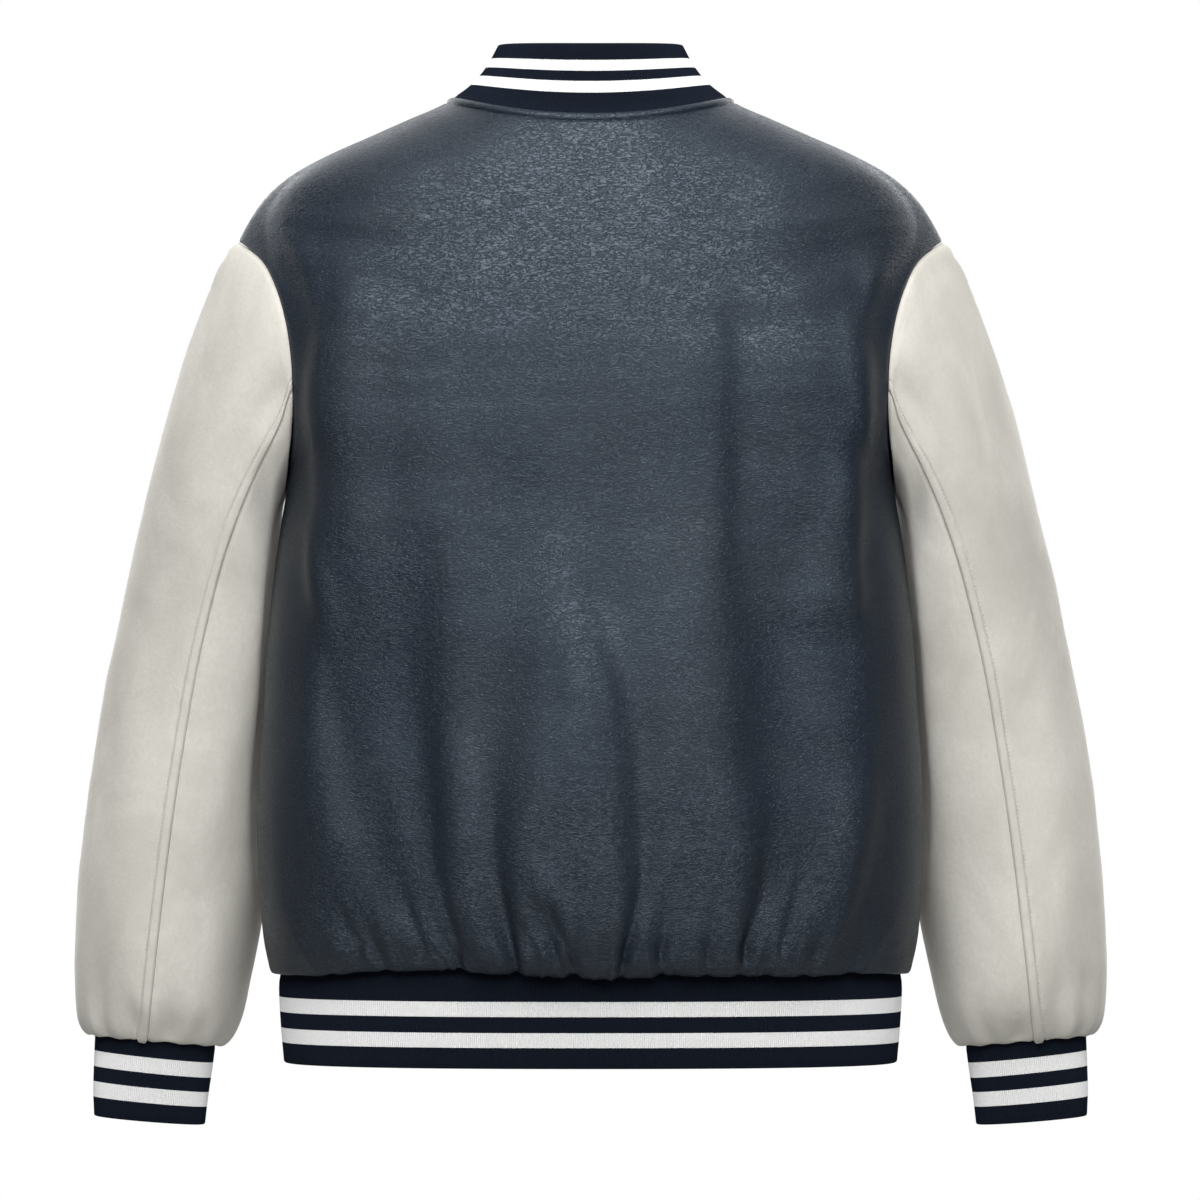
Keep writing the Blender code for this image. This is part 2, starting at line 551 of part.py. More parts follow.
for name, side in (("left", 1), ("right", -1)):
    upper, under = sleeve_grids(side)
    middle = sleeve_centre(side)
    whole = np.concatenate([upper[:, :-1], under[:, :-1]], axis=1)
    n_whole = face_out(whole, grid_normals(whole, wrap=True), middle)
    take = upper.shape[1]
    cols = whole.shape[1]
    n_upper = n_whole[:, :take]
    n_under = n_whole[:, [(take - 1 + i) % cols for i in range(under.shape[1])]]
    wu = Wall(upper, n_upper, SUEDE_WALL)
    wn = Wall(under, n_under, SUEDE_WALL)
    # back and front seams of the sleeve: both pieces share the normals there
    around = np.roll(whole, -1, axis=1) - np.roll(whole, 1, axis=1)
    for u_col, n_col, w_col, away in ((0, -1, 0, 1), (-1, 0, take - 1, -1)):
        along = unit(np.gradient(whole[:, w_col], axis=0))
        side_step = unit(around[:, w_col] - along * np.sum(around[:, w_col] * along, -1, keepdims=True))
        wu.grid[:, u_col] += away * side_step * SEAM / 2
        wn.grid[:, n_col] -= away * side_step * SEAM / 2
    # armhole seam: the sleeve starts a gap away from the body panels' edge
    line = armhole_line(side)[0]
    back_wall, front_wall = walls["back"], walls["front_" + name]
    up = list(range(UNDERARM_ROW, SHOULDER_TIP_ROW + 1))
    bc, bi = (-1, -2) if side > 0 else (0, 1)
    src = [(back_wall, k, bc, bi) for k in up] + [(front_wall, k, -1, -2) for k in up[::-1][1:]]
    n_body = np.array([-w.wall[k, c] for w, k, c, _ in src])
    into = np.array([w.grid[k, c] - w.grid[k, i] for w, k, c, i in src])
    back_at = SEAM_ROW_BACK - UNDERARM_ROW
    # order the sleeve's first ring as the armhole line
    first = np.roll(whole[0], back_at, axis=0)
    second = np.roll(whole[1], back_at, axis=0)
    n_ring = np.roll(n_whole[0], back_at, axis=0)
    count = len(line) - 1  # the line's last point is its first
    closed = np.concatenate([line[-2:-1], line[:-1], line[:1]])
    tangents = unit(np.array([closed[i + 2] - closed[i] for i in range(count)]))
    wall_dir = np.zeros((count, 3))
    step = np.zeros((count, 3))
    for i in range(count):
        n1, n2 = unit(n_body[i]), unit(n_ring[i])
        t1, t2 = unit(into[i]), unit(second[i] - first[i])
        w = -(n1 + n2)
        fold = t1 - t2
        if np.dot(fold, w) < -1e-3:
            fold = -fold
        w = w + fold * np.linalg.norm(fold) * 0.5
        w = unit(w - tangents[i] * np.dot(w, tangents[i]))
        q = unit(np.cross(tangents[i], w))
        if np.dot(q, t2 + 0.3 * n1) < 0:
            q = -q
        wall_dir[i], step[i] = w, q
    for i in range(count):
        w, k, c, _ = src[i]
        w.wall[k, c] = wall_dir[i]
        w.grid[k, c] = w.grid[k, c] - step[i] * SEAM / 2
        if i == 0:
            w2, k2, c2, _ = (front_wall, UNDERARM_ROW, -1, -2)
            w2.wall[k2, c2] = wall_dir[i]
            w2.grid[k2, c2] = w2.grid[k2, c2] - step[i] * SEAM / 2
        if k == SHOULDER_TIP_ROW:
            front_wall.wall[k, -1] = wall_dir[i]
            front_wall.grid[k, -1] = front_wall.grid[k, -1] - step[i] * SEAM / 2
        j = (i - back_at) % cols
        if j < take:
            wu.wall[0, j] = wall_dir[i]
            wu.grid[0, j] += step[i] * SEAM / 2
        if j >= take - 1 or j == 0:
            jn = j - (take - 1) if j >= take - 1 else under.shape[1] - 1
            wn.wall[0, jn] = wall_dir[i]
            wn.grid[0, jn] += step[i] * SEAM / 2
    # cuff end: the wall's edge lies in the cuff's own plane
    ox, oz, ix, iz = SLEEVE_T[-1, :4]
    flat_dir = middle[-1, 0] - whole[-1]
    down = unit(np.array([side * -(oz - iz), 0.0, (ox - ix)]) * -1.0)
    if down[2] > 0:
        down = -down
    inward = unit(flat_dir - down * (flat_dir @ down)[:, None])
    wu.wall[-1] = inward[:take]
    wn.wall[-1] = inward[[(take - 1 + i) % cols for i in range(under.shape[1])]]
    walls["sleeve_upper_" + name] = wu
    walls["sleeve_under_" + name] = wn

    # cuff: a tube on the sleeve's last ring
    rings = []
    for r, (ox, oz, ix, iz, my, hy) in enumerate(CUFF):
        cx, cz = (ox + ix) / 2, (oz + iz) / 2
        base = whole[-1] if r == 0 else None
        if base is None:
            turn = np.concatenate(
                [
                    np.linspace(SLEEVE_T[-1, 6], -SLEEVE_T[-1, 7], take)[:-1],
                    np.linspace(-SLEEVE_T[-1, 7], SLEEVE_T[-1, 6] - 360.0, under.shape[1])[:-1],
                ]
            )
            a = np.radians(turn)
            base = np.stack(
                [side * (cx + (ox - ix) / 2 * np.cos(a)), my + hy * np.sin(a), cz + (oz - iz) / 2 * np.cos(a)],
                -1,
            )
        rings.append(base)
    rings = np.array(rings)
    centres = rings.mean(1, keepdims=True)
    n_cuff = face_out(rings, grid_normals(rings, wrap=True), centres)
    wc = Wall(rings, n_cuff, RIB_WALL)
    wc.grid[0] += down * SEAM
    for r in (0, -1):
        flat = centres[r] - rings[r]
        wc.wall[r] = unit(flat - down * (flat @ down)[:, None])
    walls["cuff_" + name] = wc

# ---------------------------------------------------------------- hem edge
for name in ("back", "front_left", "front_right"):
    w = walls[name]
    w.wall[0, :, 2] = 0.0
    w.wall[0] = unit(w.wall[0])


# ---------------------------------------------------------------- ribs
def rib_rows(table):
    """Rings of a rib, from the left end at the centre front, round the back,
    to the right end, on the same columns as the body panels."""
    rings = []
    for sx, sy, sz, by, bz, fy, fz, sq in table:
        half = BACK_COLUMNS // 2
        back_half = section((sx, sy, sz), (by, bz), sy, sq, np.arange(half + 1) / half)
        first = turn_for_x((sx, sy, sz), (fy, fz), sy, sq, PLACKET_HALF)
        rest = first + (1 - first) * np.arange(FRONT_COLUMNS) / (FRONT_COLUMNS - 1)
        front_half = section((sx, sy, sz), (fy, fz), sy, sq, np.concatenate([[0.0], rest]))
        mirror = (-1, 1, 1)
        rings.append(
            np.concatenate(
                [
                    front_half[:-1],
                    back_half[::-1],
                    back_half[1:] * mirror,
                    front_half[:-1][::-1] * mirror,
                ]
            )
        )
    return np.array(rings)


def rib_centre(rings):
    return np.stack(
        [np.zeros(len(rings)), rings[:, :, 1].mean(1) * 0, rings[:, :, 2].mean(1)], -1
    )[:, None, :]


hem = rib_rows(HEM_BAND)
n_hem = face_out(hem, grid_normals(hem), rib_centre(hem))
hem_wall = Wall(hem, n_hem, RIB_WALL)
hem_wall.grid[0, :, 2] -= SEAM
for r in (0, -1):
    hem_wall.wall[r, :, 2] = 0.0
    hem_wall.wall[r] = unit(hem_wall.wall[r])
hem_wall.wall[:, 0, 0] = 0.0
hem_wall.wall[:, -1, 0] = 0.0
hem_wall.wall[:, 0] = unit(hem_wall.wall[:, 0])
hem_wall.wall[:, -1] = unit(hem_wall.wall[:, -1])
hem_wall.grid[:, 0, 0] = SEAM / 2
hem_wall.grid[:, -1, 0] = -SEAM / 2
walls["hem_band"] = hem_wall

neck = rib_rows(COLLAR)
n_neck = face_out(neck, grid_normals(neck), rib_centre(neck) + (0, -0.005, 0))
neck_wall = Wall(neck, n_neck, RIB_WALL)
# neck seam: body panels end and the collar starts with one wall direction
half = BACK_COLUMNS // 2
order = (
    [("front_left", c) for c in range(FRONT_COLUMNS)]
    + [("back", BACK_COLUMNS - c) for c in range(BACK_COLUMNS + 1)]
    + [("front_right", c) for c in range(FRONT_COLUMNS)][::-1]
)
line = neck[0]
n_body = np.array([-walls[w].wall[-1, c] for w, c in order])
into = np.array([walls[w].grid[-1, c] - walls[w].grid[-2, c] for w, c in order])
wall_dir, step = seam(line, n_body, n_neck[0], into, neck[1] - neck[0])
wall_dir[[0, -1], 0] = 0.0
wall_dir = unit(wall_dir)
for i, (w, c) in enumerate(order):
    walls[w].wall[-1, c] = wall_dir[i]
    walls[w].grid[-1, c] = walls[w].grid[-1, c] - step[i] * SEAM / 2
for w in ("front_left", "front_right"):
    i = FRONT_COLUMNS if w == "front_left" else len(order) - 1 - FRONT_COLUMNS
    walls[w].wall[-1, -1] = wall_dir[i]
    walls[w].grid[-1, -1] = walls[w].grid[-1, -1] - step[i] * SEAM / 2
neck_wall.wall[0] = wall_dir
neck_wall.grid[0] += step * SEAM / 2
neck_wall.wall[:, 0, 0] = 0.0
neck_wall.wall[:, -1, 0] = 0.0
neck_wall.wall[:, 0] = unit(neck_wall.wall[:, 0])
neck_wall.wall[:, -1] = unit(neck_wall.wall[:, -1])
neck_wall.grid[:, 0, 0] = COLLAR_GAP / 2
neck_wall.grid[:, -1, 0] = -COLLAR_GAP / 2
walls["collar"] = neck_wall

# ---------------------------------------------------------------- placket
left, right = walls["front_left"], walls["front_right"]
strip = []
for k in range(ROWS - 1, 1, -1):
    edge_l, edge_r = left.grid[k, 1], right.grid[k, 1]
    middle = (left.grid[k, 0] + right.grid[k, 0]) / 2
    n = unit(-(left.wall[k, 0] + right.wall[k, 0]))
    strip.append([edge_l + n * LAP, middle + n * LAP, edge_r + n * LAP])
# it hangs off the roll above the hem band, then lies on the band
forward = np.array([0.0, -1.0, 0.0])
edge_l, edge_r = left.grid[1, 1], right.grid[1, 1]
middle = (left.grid[1, 0] + right.grid[1, 0]) / 2
strip.append([p + forward * (LAP + 0.0006) + (0, 0, -0.0012) for p in (edge_l, middle, edge_r)])
for k in (1, 2, 3):
    ring = hem_wall.grid[k]
    middle = (ring[0] + ring[-1]) / 2
    strip.append([p + forward * LAP for p in (ring[1], middle, ring[-2])])
strip = np.array(strip)
strip[0] += unit(strip[1] - strip[0]) * SEAM * 1.5
n_strip = grid_normals(strip)
if n_strip[..., 1].mean() > 0:
    n_strip = -n_strip
n_strip[..., 0] = 0.0
n_strip = unit(n_strip)
placket = Wall(strip + n_strip * PLACKET_WALL, n_strip, PLACKET_WALL)
walls["placket"] = placket

FINISH = {
    "back": LEATHER,
    "front_left": LEATHER,
    "front_right": LEATHER,
    "placket": LEATHER,
    "sleeve_upper_left": SUEDE,
    "sleeve_upper_right": SUEDE,
    "sleeve_under_left": SUEDE,
    "sleeve_under_right": SUEDE,
    "collar": RIB,
    "hem_band": RIB,
    "cuff_left": RIB,
    "cuff_right": RIB,
}
for name, finish in FINISH.items():
    points, faces = walls[name].mesh(name, wrap=name.startswith("cuff_"))
    build(name, points, faces, finish)

# ---------------------------------------------------------------- snaps
outer = placket.grid[:, 1]
run = np.concatenate([[0], np.cumsum(np.linalg.norm(np.diff(outer, axis=0), axis=1))])
first, last = 0.026, run[-1] - 0.030
for i in range(SNAP_COUNT):
    want = first + (last - first) * i / (SNAP_COUNT - 1)
    k = int(np.searchsorted(run, want)) - 1
    # keep each cap within one flat length of the strip
    a, b = outer[k], outer[k + 1]
    room = run[k + 1] - run[k]
    t = (want - run[k]) / room
    t = min(max(t, (SNAP_RADIUS + 0.002) / room), 1 - (SNAP_RADIUS + 0.002) / room) if room > 0.02 else 0.5
    base = a + (b - a) * t
    down = unit(b - a)
    n = unit(np.cross(down, (1.0, 0.0, 0.0)))
    if n[1] > 0:
        n = -n
    across = np.array([1.0, 0.0, 0.0])
    base = base + n * LAP
    rings = [(SNAP_RADIUS, 0.0), (SNAP_RADIUS, 0.0012), (SNAP_RADIUS * 0.8, 0.0025)]
    points, faces = [], []
    sides = 14
    for radius, height in rings:
        for j in range(sides):
            a2 = 2 * math.pi * j / sides
            points.append(base + across * radius * math.cos(a2) + down * radius * math.sin(a2) + n * height)
    points.append(base + n * SNAP_HEIGHT)
    points.append(base)
    top, bottom = len(points) - 2, len(points) - 1
    for r in range(2):
        for j in range(sides):
            faces.append((r * sides + j, r * sides + (j + 1) % sides, (r + 1) * sides + (j + 1) % sides, (r + 1) * sides + j))
    for j in range(sides):
        faces.append((2 * sides + j, 2 * sides + (j + 1) % sides, top))
        faces.append(((j + 1) % sides, j, bottom))
    build(f"snap_{i + 1}", np.array(points), faces, STEEL)
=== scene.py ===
"""Looks of the varsity jacket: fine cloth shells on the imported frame's forms.

The wearer faces -Y, so the camera at +Y sees the back. All sizes in metres.
Each cloth piece is worked out again from the same sections as its solid, at a
fine step, with its creases, gathers, seams and stitching added as relief.
"""

import json
import math

import bpy
import numpy as np
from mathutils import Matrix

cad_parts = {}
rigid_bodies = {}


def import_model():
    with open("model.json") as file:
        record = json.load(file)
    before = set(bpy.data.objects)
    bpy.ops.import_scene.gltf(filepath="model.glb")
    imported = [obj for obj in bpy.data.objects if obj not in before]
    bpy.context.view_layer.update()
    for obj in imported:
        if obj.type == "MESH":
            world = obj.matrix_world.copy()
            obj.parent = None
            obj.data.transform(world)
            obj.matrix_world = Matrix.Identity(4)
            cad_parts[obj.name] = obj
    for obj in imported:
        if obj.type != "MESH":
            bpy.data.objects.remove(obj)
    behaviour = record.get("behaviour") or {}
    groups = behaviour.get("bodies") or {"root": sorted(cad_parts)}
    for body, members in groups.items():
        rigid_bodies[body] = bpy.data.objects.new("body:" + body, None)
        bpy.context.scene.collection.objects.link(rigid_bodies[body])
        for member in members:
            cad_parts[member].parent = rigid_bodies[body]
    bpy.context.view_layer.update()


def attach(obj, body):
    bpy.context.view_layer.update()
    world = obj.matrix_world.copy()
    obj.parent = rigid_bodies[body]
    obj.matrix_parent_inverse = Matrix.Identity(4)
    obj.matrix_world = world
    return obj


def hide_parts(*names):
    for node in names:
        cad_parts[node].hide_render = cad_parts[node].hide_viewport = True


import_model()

# ---------------------------------------------------------------- sizes
LEATHER_WALL = 0.0016
SUEDE_WALL = 0.0016
RIB_WALL = 0.0030
PLACKET_WALL = 0.0024
SEAM = 0.00036
LAP = 0.0004
PLACKET_HALF = 0.0165
COLLAR_GAP = 0.0032
ARM_CLEAR = 0.0045
RIB_PITCH = 0.0015  # one knitted rib
RIB_RISE = 0.00034
NECK_ROLL = 0.0058  # width of the turned leather edge below the collar
SLEEVE_BAND = 0.0078  # seam allowance that the topstitch holds flat
STITCH = 0.0030  # one stitch, with its gap
BACKDROP_FLOOR = -1.25

# Body sections from the hem up to the neck seam, one row each.
# side_*: edge of the back panel. chest_*: edge of the front panel.
# back_*, front_*: centre lines. mid_y, front_mid_y: depth of the widest point.
BODY_COLUMNS = (
    "side_x side_y side_z chest_x chest_y chest_z "
    "back_y back_z front_y front_z mid_y square front_mid_y"
).split()
BODY = np.array([
    (0.2222, -0.006, -0.6268, 0.2222, -0.006, -0.6268, 0.1085, -0.6260, -0.1065, -0.6268, -0.006, 2.45, -0.006),
    (0.2292, -0.006, -0.6292, 0.2292, -0.006, -0.6292, 0.1180, -0.6280, -0.1150, -0.6292, -0.006, 2.45, -0.006),
    (0.2322, -0.005, -0.6200, 0.2322, -0.005, -0.6200, 0.1290, -0.6200, -0.1240, -0.6200, -0.005, 2.45, -0.005),
    (0.2355, -0.004, -0.6020, 0.2355, -0.004, -0.6020, 0.1385, -0.6020, -0.1310, -0.6020, -0.004, 2.45, -0.004),
    (0.2380, -0.002, -0.5740, 0.2380, -0.002, -0.5740, 0.1440, -0.5740, -0.1350, -0.5740, -0.002, 2.45, -0.002),
    (0.2399, 0.000, -0.5400, 0.2399, 0.000, -0.5400, 0.1455, -0.5400, -0.1360, -0.5400, 0.000, 2.40, 0.000),
    (0.2396, 0.002, -0.5050, 0.2396, 0.002, -0.5050, 0.1440, -0.5050, -0.1350, -0.5050, 0.002, 2.40, 0.002),
    (0.2372, 0.004, -0.4650, 0.2372, 0.004, -0.4650, 0.1400, -0.4650, -0.1330, -0.4650, 0.004, 2.40, 0.004),
    (0.2348, 0.005, -0.4350, 0.2348, 0.005, -0.4350, 0.1370, -0.4350, -0.1315, -0.4350, 0.005, 2.40, 0.005),
    (0.2330, 0.006, -0.4000, 0.2330, 0.006, -0.4000, 0.1335, -0.4000, -0.1295, -0.4000, 0.006, 2.40, 0.006),
    (0.2288, 0.005, -0.3550, 0.2288, 0.005, -0.3550, 0.1300, -0.3550, -0.1275, -0.3550, 0.005, 2.40, 0.005),
    (0.2240, 0.002, -0.3150, 0.2240, 0.002, -0.3150, 0.1275, -0.3150, -0.1255, -0.3150, 0.002, 2.35, 0.002),
    (0.2195, -0.006, -0.2850, 0.2195, -0.006, -0.2850, 0.1260, -0.2850, -0.1240, -0.2850, -0.006, 2.35, -0.006),
    (0.2155, 0.036, -0.2620, 0.2125, -0.052, -0.2640, 0.1250, -0.2640, -0.1225, -0.2660, -0.008, 2.35, -0.008),
    (0.2132, 0.0520, -0.2380, 0.2070, -0.074, -0.2400, 0.1235, -0.2430, -0.1205, -0.2480, -0.010, 2.35, -0.010),
    (0.2132, 0.0590, -0.2120, 0.2040, -0.083, -0.2130, 0.1215, -0.2240, -0.1185, -0.2310, -0.011, 2.35, -0.011),
    (0.2148, 0.0600, -0.1850, 0.2035, -0.085, -0.1850, 0.1195, -0.2050, -0.1165, -0.2150, -0.011, 2.35, -0.011),
    (0.2190, 0.0560, -0.1600, 0.2065, -0.080, -0.1590, 0.1170, -0.1860, -0.1140, -0.1950, -0.013, 2.32, -0.009),
    (0.2262, 0.0440, -0.1370, 0.2150, -0.064, -0.1370, 0.1145, -0.1680, -0.1115, -0.1800, -0.018, 2.30, -0.002),
    (0.2370, 0.0250, -0.1170, 0.2310, -0.040, -0.1175, 0.1115, -0.1500, -0.1090, -0.1650, -0.028, 2.25, 0.014),
    (0.2545, -0.004, -0.1030, 0.2545, -0.004, -0.1030, 0.1085, -0.1340, -0.1060, -0.1500, -0.042, 2.20, 0.034),
    (0.2440, -0.004, -0.0840, 0.2440, -0.004, -0.0840, 0.1045, -0.1180, -0.1030, -0.1400, -0.030, 2.15, 0.022),
    (0.2320, -0.004, -0.0688, 0.2320, -0.004, -0.0688, 0.1005, -0.1020, -0.1000, -0.1310, -0.018, 2.12, 0.010),
    (0.2140, -0.003, -0.0545, 0.2140, -0.003, -0.0545, 0.0960, -0.0850, -0.0965, -0.1225, -0.008, 2.10, 0.002),
    (0.1890, -0.002, -0.0413, 0.1890, -0.002, -0.0413, 0.0905, -0.0680, -0.0930, -0.1140, -0.002, 2.08, -0.002),
    (0.1600, -0.001, -0.0284, 0.1600, -0.001, -0.0284, 0.0840, -0.0500, -0.0895, -0.1060, -0.001, 2.05, -0.001),
    (0.1310, 0.000, -0.0157, 0.1310, 0.000, -0.0157, 0.0770, -0.0335, -0.0860, -0.0985, 0.000, 2.02, 0.000),
    (0.1110, 0.000, -0.0071, 0.1110, 0.000, -0.0071, 0.0722, -0.0225, -0.0835, -0.0915, 0.000, 2.00, 0.000),
    (0.0985, 0.000, -0.0004, 0.0985, 0.000, -0.0004, 0.0680, -0.0140, -0.0810, -0.0850, 0.000, 2.00, 0.000),
])
UNDERARM = 12
SHOULDER_TIP = 20
NECK = 28
SEAM_BACK = 15
SEAM_FRONT = 15

# Sleeve sections from the armhole to the cuff, wearer's left side.
SLEEVE_COLUMNS = "out_x out_z in_x in_z mid_y half_y back_turn front_turn".split()
SLEEVE = np.array([
    (0.2545, -0.1030, 0.2195, -0.2850, -0.0120, 0.0725, 105.1, 105.0),
    (0.2655, -0.1170, 0.2235, -0.2950, -0.0150, 0.0725, 112.0, 108.0),
    (0.2765, -0.1410, 0.2250, -0.3050, -0.0190, 0.0725, 113.0, 106.0),
    (0.2910, -0.1790, 0.2240, -0.3180, -0.0250, 0.0720, 110.3, 102.0),
    (0.3065, -0.2280, 0.2200, -0.3380, -0.0330, 0.0710, 103.9, 97.0),
    (0.3205, -0.2820, 0.2150, -0.3680, -0.0410, 0.0695, 95.8, 93.0),
    (0.3332, -0.3360, 0.2130, -0.4050, -0.0480, 0.0680, 89.7, 90.0),
    (0.3447, -0.3900, 0.2160, -0.4450, -0.0530, 0.0665, 86.9, 88.0),
    (0.3545, -0.4400, 0.2200, -0.4850, -0.0560, 0.0650, 86.2, 87.0),
    (0.3632, -0.4900, 0.2260, -0.5250, -0.0580, 0.0635, 86.5, 86.0),
    (0.3692, -0.5380, 0.2330, -0.5640, -0.0590, 0.0615, 86.9, 86.0),
    (0.3732, -0.5820, 0.2400, -0.6020, -0.0590, 0.0590, 87.2, 86.0),
    (0.3748, -0.6200, 0.2470, -0.6350, -0.0585, 0.0550, 87.2, 86.0),
    (0.3740, -0.6480, 0.2525, -0.6590, -0.0580, 0.0500, 86.6, 86.0),
    (0.3710, -0.6660, 0.2590, -0.6755, -0.0575, 0.0420, 85.9, 86.0),
    (0.3650, -0.6760, 0.2660, -0.6842, -0.0570, 0.0345, 84.5, 86.0),
    (0.3592, -0.6745, 0.2725, -0.6835, -0.0570, 0.0295, 84.1, 86.0),
])
SLEEVE_BLEND = 0.34

# Rib sections, seam end first.
COLLAR = np.array([
    # side_x side_y side_z back_y back_z front_y front_z square
    (0.0985, 0.000, -0.0004, 0.0680, -0.0140, -0.0810, -0.0850, 2.00),
    (0.0852, -0.001, 0.0098, 0.0655, 0.0015, -0.0760, -0.0695, 2.00),
    (0.0745, -0.001, 0.0225, 0.0625, 0.0175, -0.0705, -0.0540, 2.05),
    (0.0665, -0.001, 0.0370, 0.0600, 0.0350, -0.0655, -0.0385, 2.15),
])
HEM_BAND = np.array([
    (0.2222, -0.006, -0.6268, 0.1085, -0.6260, -0.1065, -0.6268, 2.45),
    (0.2240, -0.006, -0.6400, 0.1095, -0.6400, -0.1080, -0.6400, 2.45),
    (0.2226, -0.006, -0.6680, 0.1100, -0.6680, -0.1080, -0.6680, 2.45),
    (0.2205, -0.006, -0.6925, 0.1090, -0.6925, -0.1070, -0.6925, 2.45),
])
CUFF = np.array([
    # out_x out_z in_x in_z mid_y half_y
    (0.3592, -0.6745, 0.2725, -0.6835, -0.0570, 0.0295),
    (0.3598, -0.6900, 0.2745, -0.6990, -0.0570, 0.0300),
    (0.3606, -0.7150, 0.2780, -0.7230, -0.0568, 0.0295),
    (0.3600, -0.7340, 0.2800, -0.7405, -0.0565, 0.0285),
])
# White stripes of each rib, as shares of its depth from the seam.
STRIPES = {
    "collar": ((0.296, 0.467), (0.618, 0.777)),
    "hem_band": ((0.306, 0.467), (0.638, 0.797)),
    "cuff": ((0.296, 0.461), (0.597, 0.769)),
}

CREASE_DEPTH = 1.3
# Creases of the leather. Each is a chain of stations down the cloth:
# (across, height, rise, half-width); rise is + where the cloth stands out and
# - where it sinks in. lean widens the flank on that side and steepens the
# other; a trough's stations follow the middle of its steep flank.
BACK_CREASES = [
    ("hem fold 1, left", 0.25, [(0.109, -0.538, -0.0008, 0.0090), (0.103, -0.566, -0.0024, 0.0085), (0.098, -0.589, -0.0034, 0.0070), (0.090, -0.617, -0.0030, 0.0055)]),
    ("hem fold 2, left", 0.25, [(0.062, -0.538, -0.0008, 0.0090), (0.058, -0.577, -0.0028, 0.0080), (0.050, -0.619, -0.0034, 0.0055)]),
    ("hem fold 3, left", -0.25, [(0.038, -0.559, -0.0010, 0.0060), (0.030, -0.584, -0.0026, 0.0055), (0.020, -0.605, -0.0026, 0.0050), (0.012, -0.620, -0.0020, 0.0040)]),
    ("hem fold 4, right", -0.25, [(-0.035, -0.535, -0.0008, 0.0090), (-0.031, -0.566, -0.0026, 0.0085), (-0.026, -0.591, -0.0034, 0.0070), (-0.020, -0.618, -0.0032, 0.0055)]),
    ("hem fold 5, right", 0.0, [(-0.056, -0.573, -0.0008, 0.0060), (-0.053, -0.595, -0.0020, 0.0055), (-0.050, -0.616, -0.0020, 0.0045)]),
    ("hem fold 6, right", -0.2, [(-0.087, -0.559, -0.0006, 0.0080), (-0.083, -0.588, -0.0018, 0.0070), (-0.080, -0.612, -0.0022, 0.0055)]),
    ("hem fold 7, right", -0.3, [(-0.122, -0.535, -0.0006, 0.0090), (-0.118, -0.570, -0.0022, 0.0090), (-0.107, -0.609, -0.0032, 0.0060)]),
    ("hem fold 8, right", -0.3, [(-0.150, -0.535, -0.0006, 0.0090), (-0.144, -0.570, -0.0018, 0.0080), (-0.133, -0.606, -0.0026, 0.0060)]),
    ("hem fold 9, left", 0.3, [(0.134, -0.559, -0.0006, 0.0080), (0.126, -0.588, -0.0018, 0.0070), (0.118, -0.609, -0.0024, 0.0055)]),
    ("hem fold 10, left", 0.35, [(0.184, -0.566, -0.0006, 0.0090), (0.173, -0.591, -0.0016, 0.0080), (0.163, -0.607, -0.0022, 0.0060)]),
]
